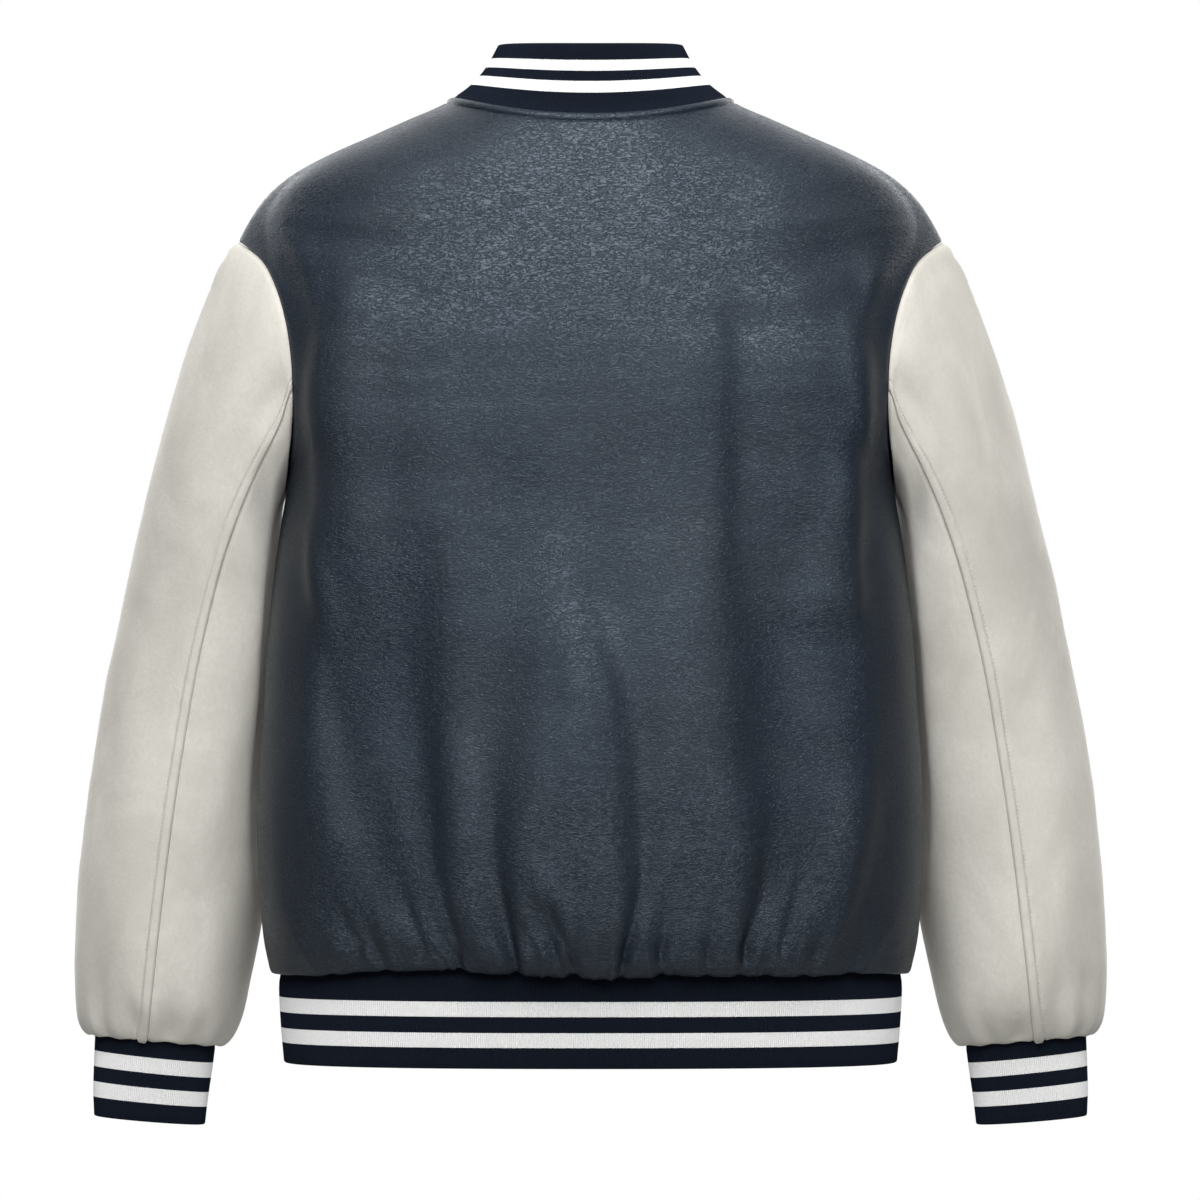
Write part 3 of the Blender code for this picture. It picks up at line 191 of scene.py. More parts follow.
# Faces of the back's folds. Each is a chain of stations down the cloth: across,
# height, fall towards the wearer's left, half-width.
BACK_FACES = [
    ("left armhole face", [(0.235, -0.076, 0.0007, 0.022), (0.219, -0.103, 0.0028, 0.009), (0.202, -0.135, 0.0088, 0.009), (0.199, -0.169, 0.0046, 0.009), (0.199, -0.199, 0.0033, 0.009), (0.209, -0.227, 0.0032, 0.009)]),
    ("left outer face, lit", [(0.200, -0.094, -0.0008, 0.007), (0.200, -0.116, -0.0037, 0.007), (0.194, -0.142, -0.0046, 0.007), (0.188, -0.174, -0.0027, 0.007), (0.192, -0.209, -0.0006, 0.007), (0.193, -0.262, 0.0108, 0.012), (0.198, -0.333, 0.0140, 0.007), (0.192, -0.404, -0.0041, 0.007), (0.189, -0.474, -0.0130, 0.013), (0.174, -0.538, -0.0137, 0.016), (0.160, -0.577, -0.0101, 0.022), (0.124, -0.609, 0.0040, 0.024)]),
    ("left outer face", [(0.170, -0.089, -0.0013, 0.018), (0.173, -0.121, -0.0019, 0.011), (0.186, -0.149, 0.0044, 0.010), (0.199, -0.220, 0.0124, 0.008), (0.192, -0.291, 0.0040, 0.011), (0.180, -0.361, -0.0063, 0.008), (0.173, -0.425, -0.0007, 0.008), (0.152, -0.482, 0.0010, 0.008), (0.145, -0.538, 0.0032, 0.008), (0.131, -0.573, 0.0018, 0.008), (0.118, -0.609, -0.0057, 0.008)]),
    ("left second face, lit", [(0.155, -0.149, -0.0049, 0.024), (0.160, -0.234, -0.0112, 0.019), (0.153, -0.319, -0.0140, 0.024), (0.147, -0.404, -0.0062, 0.023), (0.146, -0.474, -0.0073, 0.023), (0.135, -0.538, -0.0104, 0.024), (0.112, -0.588, -0.0049, 0.024)]),
    ("left main face", [(0.105, -0.171, -0.0000, 0.010), (0.106, -0.234, 0.0002, 0.011), (0.108, -0.291, -0.0010, 0.015), (0.111, -0.347, 0.0043, 0.013), (0.115, -0.404, 0.0104, 0.016), (0.112, -0.474, 0.0109, 0.010), (0.108, -0.531, 0.0111, 0.011), (0.108, -0.573, 0.0067, 0.015), (0.081, -0.612, 0.0057, 0.012)]),
    ("left main face, lit", [(0.101, -0.192, -0.0014, 0.024), (0.096, -0.248, -0.0054, 0.024), (0.086, -0.305, -0.0072, 0.024), (0.083, -0.376, -0.0019, 0.014), (0.084, -0.446, -0.0007, 0.011), (0.080, -0.510, -0.0073, 0.011), (0.078, -0.559, -0.0089, 0.011), (0.067, -0.602, -0.0065, 0.011)]),
    ("left inner face", [(0.026, -0.305, 0.0015, 0.010), (0.041, -0.368, 0.0066, 0.018), (0.048, -0.432, 0.0140, 0.024), (0.056, -0.489, 0.0133, 0.020), (0.063, -0.538, 0.0092, 0.010), (0.053, -0.580, 0.0067, 0.010), (0.041, -0.619, 0.0015, 0.010)]),
    ("bulge, lit", [(0.023, -0.361, 0.0004, 0.008), (0.016, -0.432, 0.0036, 0.008), (0.030, -0.496, -0.0009, 0.009), (0.038, -0.538, -0.0061, 0.008), (0.038, -0.573, -0.0072, 0.008)]),
    ("diagonal face", [(0.039, -0.531, 0.0020, 0.011), (0.038, -0.563, 0.0078, 0.006), (0.025, -0.591, 0.0084, 0.006), (0.009, -0.621, 0.0077, 0.006)]),
    ("diagonal face, lit", [(0.029, -0.538, -0.0005, 0.006), (0.023, -0.563, -0.0053, 0.008), (0.009, -0.584, -0.0055, 0.007), (0.012, -0.612, -0.0116, 0.006)]),
    ("centre, right flank", [(0.007, -0.432, -0.0025, 0.010), (-0.011, -0.503, -0.0087, 0.024), (-0.015, -0.552, -0.0059, 0.024), (-0.019, -0.602, -0.0003, 0.015)]),
    ("right inner face", [(0.005, -0.291, -0.0017, 0.010), (0.001, -0.361, -0.0082, 0.015), (-0.021, -0.432, -0.0110, 0.012), (-0.030, -0.496, -0.0120, 0.011), (-0.028, -0.549, -0.0121, 0.010), (-0.030, -0.580, -0.0094, 0.010), (-0.030, -0.617, -0.0041, 0.010)]),
    ("right inner face, lit", [(-0.045, -0.248, 0.0018, 0.024), (-0.027, -0.319, 0.0026, 0.024), (-0.036, -0.390, 0.0087, 0.024), (-0.044, -0.453, 0.0104, 0.018), (-0.040, -0.510, 0.0080, 0.010), (-0.041, -0.549, 0.0044, 0.010), (-0.046, -0.588, 0.0018, 0.010)]),
    ("low right face", [(-0.065, -0.538, -0.0013, 0.006), (-0.052, -0.573, -0.0065, 0.010), (-0.049, -0.612, -0.0052, 0.006)]),
    ("low right face, lit", [(-0.098, -0.531, -0.0001, 0.008), (-0.087, -0.566, 0.0006, 0.008), (-0.062, -0.609, 0.0020, 0.008)]),
    ("right main face", [(-0.087, -0.072, -0.0036, 0.024), (-0.086, -0.121, 0.0001, 0.024), (-0.099, -0.178, -0.0061, 0.011), (-0.100, -0.234, -0.0053, 0.010), (-0.100, -0.291, -0.0055, 0.010), (-0.099, -0.347, -0.0073, 0.014), (-0.111, -0.404, -0.0106, 0.020), (-0.112, -0.467, -0.0140, 0.019), (-0.122, -0.524, -0.0129, 0.014), (-0.115, -0.566, -0.0123, 0.014), (-0.104, -0.610, -0.0046, 0.012)]),
    ("right main face, lit", [(-0.131, -0.114, 0.0012, 0.024), (-0.117, -0.178, 0.0077, 0.024), (-0.122, -0.234, 0.0097, 0.018), (-0.134, -0.284, 0.0073, 0.024), (-0.148, -0.333, -0.0026, 0.024)]),
    ("right second face", [(-0.149, -0.178, 0.0015, 0.014), (-0.148, -0.234, 0.0035, 0.014), (-0.143, -0.284, 0.0048, 0.017)]),
    ("right second face, lit", [(-0.169, -0.206, 0.0030, 0.014), (-0.170, -0.277, 0.0104, 0.010), (-0.163, -0.333, 0.0140, 0.017), (-0.160, -0.390, 0.0139, 0.023), (-0.165, -0.446, 0.0140, 0.024), (-0.178, -0.496, 0.0097, 0.015), (-0.176, -0.538, 0.0066, 0.010), (-0.166, -0.580, 0.0030, 0.011), (-0.152, -0.612, -0.0022, 0.010)]),
    ("right low face", [(-0.140, -0.531, -0.0005, 0.018), (-0.141, -0.566, -0.0078, 0.013), (-0.141, -0.605, -0.0034, 0.006)]),
    ("right low face, lit", [(-0.146, -0.535, 0.0008, 0.006), (-0.141, -0.570, 0.0048, 0.006), (-0.131, -0.605, 0.0038, 0.006)]),
    ("right outer face", [(-0.176, -0.149, 0.0010, 0.008), (-0.180, -0.185, 0.0038, 0.009), (-0.181, -0.220, 0.0045, 0.007), (-0.189, -0.291, -0.0140, 0.009), (-0.192, -0.354, -0.0114, 0.007)]),
    ("right armhole face", [(-0.221, -0.079, 0.0007, 0.013), (-0.224, -0.103, -0.0016, 0.011), (-0.210, -0.128, -0.0067, 0.009), (-0.200, -0.156, -0.0071, 0.009), (-0.199, -0.185, -0.0065, 0.009), (-0.207, -0.220, -0.0025, 0.009)]),
    ("right outer face, lit", [(-0.198, -0.089, 0.0037, 0.021), (-0.196, -0.111, 0.0080, 0.021), (-0.197, -0.135, 0.0067, 0.007), (-0.193, -0.164, 0.0019, 0.007), (-0.197, -0.192, -0.0061, 0.007), (-0.197, -0.234, -0.0140, 0.007), (-0.196, -0.291, -0.0063, 0.013), (-0.186, -0.361, 0.0030, 0.007), (-0.185, -0.418, 0.0024, 0.007)]),
    ("right side face", [(-0.222, -0.220, 0.0000, 0.019), (-0.200, -0.390, -0.0011, 0.010), (-0.205, -0.460, -0.0049, 0.010), (-0.201, -0.524, -0.0108, 0.010), (-0.191, -0.573, -0.0116, 0.010), (-0.177, -0.612, -0.0075, 0.010)]),
    ("left side face", [(0.222, -0.220, 0.0000, 0.019), (0.206, -0.390, 0.0026, 0.010), (0.210, -0.460, 0.0039, 0.010), (0.218, -0.524, -0.0061, 0.024), (0.207, -0.573, -0.0137, 0.024), (0.171, -0.612, -0.0138, 0.024)]),
]
# How the middle of the back hangs: height, and how far it stands out there.
BACK_HANG = [
    (-0.080, 0.0000), (-0.170, -0.0008), (-0.250, -0.0014), (-0.330, -0.0018), (-0.400, -0.0022),
    (-0.450, -0.0025), (-0.500, -0.0028), (-0.540, -0.0030), (-0.570, -0.0030), (-0.600, -0.0028), (-0.640, 0.0000),
]
FRONT_CREASES = [
    ("chest pull, left", 0.3, [(0.158, -0.130, -0.0008, 0.012), (0.136, -0.185, -0.0018, 0.014), (0.108, -0.232, -0.0010, 0.014)]),
    ("elbow pull, right", -0.3, [(-0.192, -0.250, -0.0006, 0.012), (-0.172, -0.300, -0.0016, 0.014), (-0.146, -0.352, -0.0008, 0.015)]),
    ("hem fold 1, left", 0.30, [(0.196, -0.560, -0.0008, 0.009), (0.186, -0.588, -0.0024, 0.008), (0.180, -0.610, -0.0028, 0.006)]),
    ("hem fold 2, left", 0.25, [(0.140, -0.545, -0.0008, 0.009), (0.135, -0.580, -0.0026, 0.008), (0.130, -0.612, -0.0030, 0.006)]),
    ("hem fold 3, left", 0.20, [(0.104, -0.560, -0.0008, 0.008), (0.099, -0.588, -0.0026, 0.007), (0.095, -0.614, -0.0030, 0.005)]),
    ("hem fold 4, left", 0.10, [(0.052, -0.550, -0.0008, 0.008), (0.049, -0.582, -0.0026, 0.007), (0.047, -0.614, -0.0030, 0.005)]),
    ("hem fold 1, right", -0.10, [(-0.056, -0.552, -0.0008, 0.008), (-0.053, -0.584, -0.0024, 0.007), (-0.050, -0.614, -0.0028, 0.005)]),
    ("hem fold 2, right", -0.25, [(-0.112, -0.545, -0.0008, 0.009), (-0.108, -0.580, -0.0026, 0.008), (-0.103, -0.612, -0.0030, 0.006)]),
    ("hem fold 3, right", -0.25, [(-0.146, -0.560, -0.0008, 0.009), (-0.140, -0.588, -0.0024, 0.008), (-0.134, -0.612, -0.0028, 0.006)]),
    ("hem fold 4, right", -0.35, [(-0.190, -0.556, -0.0008, 0.009), (-0.183, -0.586, -0.0022, 0.008), (-0.177, -0.610, -0.0028, 0.006)]),
]
FRONT_FACES = [
    ("left armhole face", [(0.230, -0.078, 0.0009, 0.009), (0.214, -0.104, 0.0020, 0.009), (0.204, -0.136, 0.0038, 0.009), (0.203, -0.170, 0.0030, 0.009), (0.206, -0.200, 0.0026, 0.009), (0.208, -0.227, 0.0020, 0.009)]),
    ("left side face", [(0.220, -0.220, 0.0000, 0.018), (0.214, -0.330, 0.0010, 0.016), (0.216, -0.430, 0.0040, 0.018), (0.208, -0.520, 0.0060, 0.018), (0.190, -0.600, 0.0055, 0.014)]),
    ("left outer face, lit", [(0.178, -0.120, -0.0020, 0.012), (0.173, -0.200, -0.0034, 0.014), (0.176, -0.300, -0.0030, 0.015), (0.172, -0.420, -0.0036, 0.015), (0.158, -0.520, -0.0042, 0.013), (0.142, -0.600, -0.0040, 0.010)]),
    ("left outer face", [(0.152, -0.130, 0.0018, 0.012), (0.148, -0.210, 0.0036, 0.014), (0.150, -0.320, 0.0034, 0.015), (0.146, -0.430, 0.0042, 0.014), (0.133, -0.530, 0.0046, 0.012), (0.120, -0.605, 0.0042, 0.009)]),
    ("left main face, lit", [(0.122, -0.260, -0.0026, 0.015), (0.124, -0.350, -0.0052, 0.017), (0.120, -0.450, -0.0068, 0.016), (0.108, -0.540, -0.0066, 0.013), (0.097, -0.606, -0.0052, 0.009)]),
    ("left main face", [(0.090, -0.240, 0.0028, 0.015), (0.092, -0.340, 0.0056, 0.016), (0.088, -0.440, 0.0072, 0.015), (0.083, -0.540, 0.0068, 0.013), (0.079, -0.606, 0.0052, 0.009)]),
    ("left inner face, lit", [(0.064, -0.380, -0.0018, 0.012), (0.061, -0.470, -0.0042, 0.012), (0.054, -0.550, -0.0050, 0.010), (0.047, -0.606, -0.0042, 0.008)]),
    ("left inner face", [(0.043, -0.400, 0.0014, 0.010), (0.041, -0.490, 0.0034, 0.010), (0.037, -0.560, 0.0038, 0.009), (0.034, -0.606, 0.0032, 0.007)]),
    ("right armhole face", [(-0.230, -0.079, -0.0010, 0.010), (-0.215, -0.103, -0.0023, 0.009), (-0.206, -0.134, -0.0036, 0.009), (-0.204, -0.168, -0.0030, 0.009), (-0.207, -0.202, -0.0030, 0.009), (-0.208, -0.228, -0.0024, 0.009)]),
    ("right side face", [(-0.220, -0.220, 0.0000, 0.018), (-0.216, -0.300, -0.0012, 0.016), (-0.214, -0.420, -0.0044, 0.018), (-0.204, -0.520, -0.0058, 0.018), (-0.186, -0.602, -0.0052, 0.014)]),
    ("right outer face, lit", [(-0.172, -0.125, 0.0020, 0.012), (-0.167, -0.210, 0.0036, 0.014), (-0.171, -0.330, 0.0028, 0.015), (-0.164, -0.440, 0.0034, 0.015), (-0.152, -0.530, 0.0042, 0.013), (-0.138, -0.602, 0.0040, 0.010)]),
    ("right outer face", [(-0.146, -0.140, -0.0020, 0.013), (-0.142, -0.230, -0.0036, 0.014), (-0.146, -0.340, -0.0030, 0.015), (-0.142, -0.450, -0.0038, 0.014), (-0.130, -0.540, -0.0044, 0.012), (-0.118, -0.606, -0.0040, 0.009)]),
    ("right main face, lit", [(-0.112, -0.220, 0.0030, 0.015), (-0.118, -0.320, 0.0056, 0.017), (-0.122, -0.430, 0.0064, 0.016), (-0.114, -0.530, 0.0062, 0.013), (-0.103, -0.606, 0.0050, 0.009)]),
    ("right main face", [(-0.082, -0.200, -0.0030, 0.015), (-0.087, -0.300, -0.0056, 0.016), (-0.092, -0.420, -0.0066, 0.015), (-0.090, -0.530, -0.0064, 0.013), (-0.085, -0.606, -0.0050, 0.009)]),
    ("right inner face, lit", [(-0.060, -0.340, 0.0018, 0.012), (-0.064, -0.450, 0.0040, 0.012), (-0.060, -0.540, 0.0048, 0.010), (-0.053, -0.606, 0.0040, 0.008)]),
    ("right inner face", [(-0.040, -0.370, -0.0014, 0.010), (-0.042, -0.470, -0.0032, 0.010), (-0.040, -0.550, -0.0038, 0.009), (-0.036, -0.606, -0.0032, 0.007)]),
]
# Gathers where the leather is drawn into the hem band: across, depth, length,
# half-width at the seam, lean (how far it slants per metre of height).
GATHER_COLUMNS = "across depth length width lean".split()
BACK_GATHERS = [
    (0.2070, 0.0012, 0.018, 0.0045, 0.20),
    (0.1830, 0.0032, 0.030, 0.0034, 0.35),
    (0.1640, 0.0010, 0.016, 0.0045, 0.25),
    (0.1430, 0.0041, 0.039, 0.0030, 0.40),
    (0.1210, 0.0012, 0.016, 0.0040, 0.30),
    (0.0995, 0.0035, 0.022, 0.0018, 0.30),
    (0.0938, 0.0035, 0.018, 0.0015, 0.10),
    (0.0890, 0.0046, 0.039, 0.0024, 0.45),
    (0.0758, 0.0014, 0.022, 0.0034, 0.30),
    (0.0500, 0.0046, 0.041, 0.0028, 0.25),
    (0.0428, 0.0022, 0.016, 0.0017, -0.20),
    (0.0366, 0.0038, 0.020, 0.0016, 0.10),
    (0.0299, 0.0046, 0.025, 0.0022, -0.10),
    (0.0240, 0.0018, 0.014, 0.0017, -0.20),
    (0.0165, 0.0018, 0.016, 0.0018, -0.20),
    (0.0108, 0.0049, 0.041, 0.0026, 0.46),
    (-0.0003, 0.0022, 0.016, 0.0016, 0.10),
    (-0.0048, 0.0032, 0.018, 0.0015, 0.00),
    (-0.0097, 0.0046, 0.028, 0.0024, -0.05),
    (-0.0196, 0.0046, 0.041, 0.0028, -0.17),
    (-0.0340, 0.0010, 0.012, 0.0040, 0.00),
    (-0.0499, 0.0046, 0.039, 0.0028, 0.05),
    (-0.0600, 0.0014, 0.016, 0.0028, -0.10),
    (-0.0824, 0.0038, 0.026, 0.0028, -0.05),
    (-0.1045, 0.0046, 0.041, 0.0028, -0.25),
    (-0.1240, 0.0038, 0.026, 0.0030, -0.20),
    (-0.1500, 0.0041, 0.039, 0.0032, -0.35),
    (-0.1680, 0.0012, 0.016, 0.0038, -0.30),
    (-0.1840, 0.0035, 0.030, 0.0034, -0.40),
    (-0.2070, 0.0012, 0.018, 0.0045, -0.20),
]
FRONT_GATHERS = [
    (0.208, 0.0014, 0.018, 0.0040, 0.25),
    (0.181, 0.0030, 0.032, 0.0034, 0.40),
    (0.158, 0.0016, 0.016, 0.0038, 0.30),
    (0.130, 0.0034, 0.034, 0.0030, 0.35),
    (0.112, 0.0022, 0.020, 0.0030, 0.20),
    (0.095, 0.0036, 0.032, 0.0026, 0.20),
    (0.074, 0.0026, 0.024, 0.0030, 0.10),
    (0.060, 0.0016, 0.014, 0.0034, 0.10),
    (0.047, 0.0034, 0.032, 0.0028, 0.05),
    (0.032, 0.0022, 0.020, 0.0028, 0.00),
    (-0.036, 0.0026, 0.024, 0.0028, 0.00),
    (-0.050, 0.0034, 0.034, 0.0028, -0.10),
    (-0.068, 0.0018, 0.016, 0.0032, -0.10),
    (-0.086, 0.0030, 0.026, 0.0028, -0.15),
    (-0.103, 0.0036, 0.034, 0.0026, -0.20),
    (-0.120, 0.0020, 0.018, 0.0032, -0.25),
    (-0.134, 0.0034, 0.030, 0.0030, -0.30),
    (-0.155, 0.0018, 0.018, 0.0036, -0.30),
    (-0.177, 0.0030, 0.032, 0.0034, -0.40),
    (-0.204, 0.0014, 0.016, 0.0040, -0.30),
]

# Soft dents and swells of the sleeves: along (0 armhole, 1 cuff), turn round
# the sleeve (0 outer edge, 90 back, 180 inner edge), length, half-width in
# degrees, depth, slant (degrees of turn per unit along).
SLEEVE_FOLD_COLUMNS = "along turn length width depth slant".split()
SLEEVE_FOLDS = [
    (0.22, 128.0, 0.10, 20.0, -0.0045, 0.0),
    (0.20, 40.0, 0.14, 16.0, -0.0030, 0.0),
    (0.46, 60.0, 0.16, 20.0, -0.0030, 0.0),
    (0.64, 118.0, 0.15, 18.0, -0.0030, 0.0),
    (0.80, 45.0, 0.14, 16.0, -0.0030, 0.0),
    (0.30, -70.0, 0.14, 22.0, -0.0045, 0.0),
    (0.48, -95.0, 0.12, 20.0, -0.0040, 0.0),
    (0.72, -60.0, 0.16, 18.0, -0.0030, 0.0),
]
SLEEVE_SOFT = {
    "left": [
        (0.10, 96.0, 0.16, 9.0, -0.0030, -40.0),
        (0.09, 78.0, 0.16, 10.0, 0.0016, -60.0),
        (0.19, 106.0, 0.10, 8.0, 0.0016, 30.0),
        (0.55, 30.0, 0.16, 12.0, -0.0018, 60.0),
        (0.60, 62.0, 0.20, 13.0, 0.0012, 30.0),
        (0.84, 72.0, 0.12, 10.0, -0.0020, 120.0),
        (0.88, 104.0, 0.14, 12.0, -0.0016, 40.0),
        (0.36, 128.0, 0.16, 14.0, 0.0016, 30.0),
        (0.30, -90.0, 0.16, 30.0, 0.0013, 0.0),
        (0.36, -118.0, 0.10, 14.0, 0.0006, 90.0),
        (0.58, -72.0, 0.18, 15.0, 0.0022, 60.0),
        (0.86, -52.0, 0.14, 12.0, -0.0022, 90.0),
    ],
    "right": [
        (0.10, 94.0, 0.18, 9.0, -0.0032, -50.0),
        (0.08, 74.0, 0.14, 10.0, 0.0018, -60.0),
        (0.18, 108.0, 0.10, 8.0, 0.0014, 30.0),
        (0.50, 34.0, 0.20, 13.0, -0.0014, 50.0),
        (0.66, 58.0, 0.18, 12.0, 0.0014, 30.0),
        (0.80, 66.0, 0.14, 11.0, -0.0018, 110.0),
        (0.90, 100.0, 0.12, 11.0, -0.0018, 40.0),
        (0.40, 130.0, 0.18, 14.0, 0.0014, 30.0),
        (0.30, -90.0, 0.16, 30.0, 0.0013, 0.0),
        (0.34, -112.0, 0.12, 14.0, 0.0006, 80.0),
        (0.60, -76.0, 0.16, 15.0, 0.0020, 60.0),
        (0.84, -46.0, 0.16, 12.0, -0.0022, 80.0),
    ],
}
# Gathers into the cuff: turn, depth, length along, half-width in degrees.
CUFF_GATHERS = {
    "left": [
        (18.0, 0.0020, 0.050, 7.0), (47.0, 0.0026, 0.060, 6.0), (70.0, 0.0022, 0.045, 6.0),
        (101.0, 0.0026, 0.065, 6.0), (128.0, 0.0022, 0.050, 6.0), (155.0, 0.0024, 0.060, 7.0),
        (-14.0, 0.0020, 0.050, 7.0), (-42.0, 0.0026, 0.060, 6.0), (-72.0, 0.0022, 0.050, 6.0),
        (-99.0, 0.0028, 0.065, 6.0), (-131.0, 0.0022, 0.050, 7.0), (-160.0, 0.0024, 0.060, 7.0),
    ],
    "right": [
        (12.0, 0.0020, 0.050, 7.0), (40.0, 0.0022, 0.055, 6.0), (66.0, 0.0026, 0.060, 6.0),
        (96.0, 0.0024, 0.050, 6.0), (121.0, 0.0026, 0.065, 6.0), (150.0, 0.0022, 0.050, 7.0),
        (-20.0, 0.0020, 0.050, 7.0), (-50.0, 0.0026, 0.060, 6.0), (-77.0, 0.0022, 0.045, 6.0),
        (-106.0, 0.0026, 0.060, 6.0), (-136.0, 0.0024, 0.055, 7.0), (-165.0, 0.0022, 0.050, 7.0),
    ],
}


# ---------------------------------------------------------------- maths
def ease(t):
    t = np.clip(t, 0.0, 1.0)
    return t * t * (3.0 - 2.0 * t)


def unit(v):
    return v / np.maximum(np.linalg.norm(v, axis=-1, keepdims=True), 1e-12)


def track(table, x, corners=(), sharp=slice(None)):
    """Smooth curve through a table's rows; x counts rows from 0. At a corner
    row the sharp columns turn at once."""
    y = np.asarray(table, float)
    arrive = np.gradient(y, axis=0)
    leave = arrive.copy()
    for c in corners:
        arrive[c, sharp] = (y[c] - y[c - 1])[sharp]
        leave[c, sharp] = (y[c + 1] - y[c])[sharp]
    x = np.clip(np.asarray(x, float), 0, len(y) - 1)
    i = np.minimum(x.astype(int), len(y) - 2)
    t = (x - i)[..., None]
    a, b, ma, mb = y[i], y[i + 1], leave[i], arrive[i + 1]
    return (
        a * (2 * t**3 - 3 * t**2 + 1)
        + ma * (t**3 - 2 * t**2 + t)
        + b * (3 * t**2 - 2 * t**3)
        + mb * (t**3 - t**2)
    )


def through(z, zs, values):
    """Smooth monotone curve of values over rising zs (monotone cubic)."""
    zs, values = np.asarray(zs, float), np.asarray(values, float)
    h = np.diff(zs)
    d = np.diff(values) / h
    m = np.concatenate([[d[0]], (d[:-1] + d[1:]) / 2, [d[-1]]])
    for k in range(1, len(m) - 1):
        if d[k - 1] * d[k] <= 0:
            m[k] = 0.0
        else:
            m[k] = np.clip(m[k], -3 * min(abs(d[k - 1]), abs(d[k])), 3 * min(abs(d[k - 1]), abs(d[k])))
    z = np.clip(z, zs[0], zs[-1])
    i = np.clip(np.searchsorted(zs, z) - 1, 0, len(h) - 1)
    t = (z - zs[i]) / h[i]
    return (
        values[i] * (2 * t**3 - 3 * t**2 + 1)
        + m[i] * h[i] * (t**3 - 2 * t**2 + t)
        + values[i + 1] * (3 * t**2 - 2 * t**3)
        + m[i + 1] * h[i] * (t**3 - t**2)
    )


def grid_normals(grid, wrap=False):
    if wrap:
        along = np.roll(grid, -1, axis=1) - np.roll(grid, 1, axis=1)
    else:
        along = np.gradient(grid, axis=1)
    up = np.gradient(grid, axis=0)
    return unit(np.cross(along, up))


def face_out(grid, normals, centre):
    return normals if np.sum((grid - centre) * normals) > 0 else -normals


def soft_noise(p, size, seed, octaves=2):
    """Smooth random swell of about -1 to 1 at points p; size is its grain."""
    total, weight = 0.0, 0.0
    for o in range(octaves):
        rng = np.random.RandomState(seed + 17 * o)
        lattice = rng.uniform(-1, 1, (32, 32, 32))
        q = np.asarray(p) / (np.asarray(size) / 2**o) + 100.0
        i = np.floor(q).astype(int)
        f = ease(q - i)
        v = 0.0
        for dx in (0, 1):
            for dy in (0, 1):
                for dz in (0, 1):
                    w = (
                        (f[..., 0] if dx else 1 - f[..., 0])
                        * (f[..., 1] if dy else 1 - f[..., 1])
                        * (f[..., 2] if dz else 1 - f[..., 2])
                    )
                    v = v + w * lattice[(i[..., 0] + dx) % 32, (i[..., 1] + dy) % 32, (i[..., 2] + dz) % 32]
        total = total + v * 0.5**o
        weight += 0.5**o
    return total / weight * 1.6


def crease_height(x, z, creases):
    """Rise of the cloth at (x, z) from chains of crease stations."""
    total = np.zeros_like(x)
    for _, lean, stations in creases:
        st = np.array(stations)[::-1]
        zs = st[:, 1]
        end_run = 0.020 if zs[0] < -0.58 else 0.040
        reach = zs[-1] + 0.06, zs[0] - 0.05
        near = (z < reach[0]) & (z > reach[1])
        if not near.any():
            continue
        xn, zn = x[near], z[near]
        line = through(zn, zs, st[:, 0])
        rise = through(zn, zs, st[:, 2])
        width = through(zn, zs, st[:, 3])
        top_run = min(0.055, 0.6 * (zs[-1] - zs[0]))
        over = np.clip((zn - zs[-1]) / top_run, 0, 1)
        under = np.clip((zs[0] - zn) / end_run, 0, 1)
        fade = (1 - ease(over)) * (1 - ease(under))
        if st[:, 2].mean() < 0:
            line = line + 0.70 * np.sign(lean) * width * (1 - abs(lean)) * min(abs(lean) / 0.2, 1.0)
        off = xn - line
        side = np.where(off > 0, 1 + lean, 1 - lean)
        u = off / (width * side)
        round_off = ease((width - 0.008) / 0.008)
        shape = np.exp(-(u**2))
        if st[:, 2].mean() < 0:
            tight = np.exp(-1.4 * (np.sqrt(u**2 + 0.09) - 0.3))
            shape = tight + (shape - tight) * round_off
        total[near] += rise * CREASE_DEPTH * shape * fade
    return total


def face_height(x, z, faces):
    """Rise of the cloth from the faces of its folds. Across each face the
    cloth falls by the stated height towards the wearer's left."""
    total = np.zeros_like(x)
    for _, stations in faces:
        st = np.array(stations)[::-1]
        zs = st[:, 1]
        top_run = min(0.050, 0.5 * (zs[-1] - zs[0]))
        end_run = 0.032 if zs[0] < -0.585 else 0.040
        fade = (1 - ease((z - zs[-1]) / top_run)) * (1 - ease((zs[0] - z) / end_run))
        line, fall, width = (through(z, zs, st[:, k]) for k in (0, 2, 3))
        total -= 0.5 * fall * np.tanh((x - line) / width) * fade
    # the panel's own edges stay where they are
    a, b = total[:, :1], total[:, -1:]
    t = (x - x[:, :1]) / (x[:, -1:] - x[:, :1])
    total = total - (a + (b - a) * t)
    # nor do the folds carry the panel in or out as a whole
    arch = 4.0 * t * (1.0 - t)
    return total - arch * (total * arch).sum(axis=1, keepdims=True) / (arch**2).sum(axis=1, keepdims=True)


def gather_height(x, above, gathers):
    """Valleys of the gathers, and how far the edge is drawn up at each."""
    depth = np.zeros_like(x)
    lift = np.zeros_like(x)
    for at, deep, length, width, lean in gathers:
        centre = at + lean * np.clip(above, 0, None)
        spread = width * (1.0 + 0.75 * np.clip(above, 0, None) / length)
        u = (x - centre) / spread
        shape = np.exp(-np.abs(u) ** 1.6)
        fade = np.exp(-(np.clip(above, 0, None) / length) ** 1.5)
        depth += deep * shape * fade
        # the cloth stands up a little on both flanks of each valley
        depth -= 0.45 * deep * (np.exp(-((np.abs(u) - 2.0) ** 2) / 0.5)) * fade
        lift += deep * 0.16 * np.exp(-np.abs((x - at) / (width * 1.5)) ** 2)
    return depth, lift


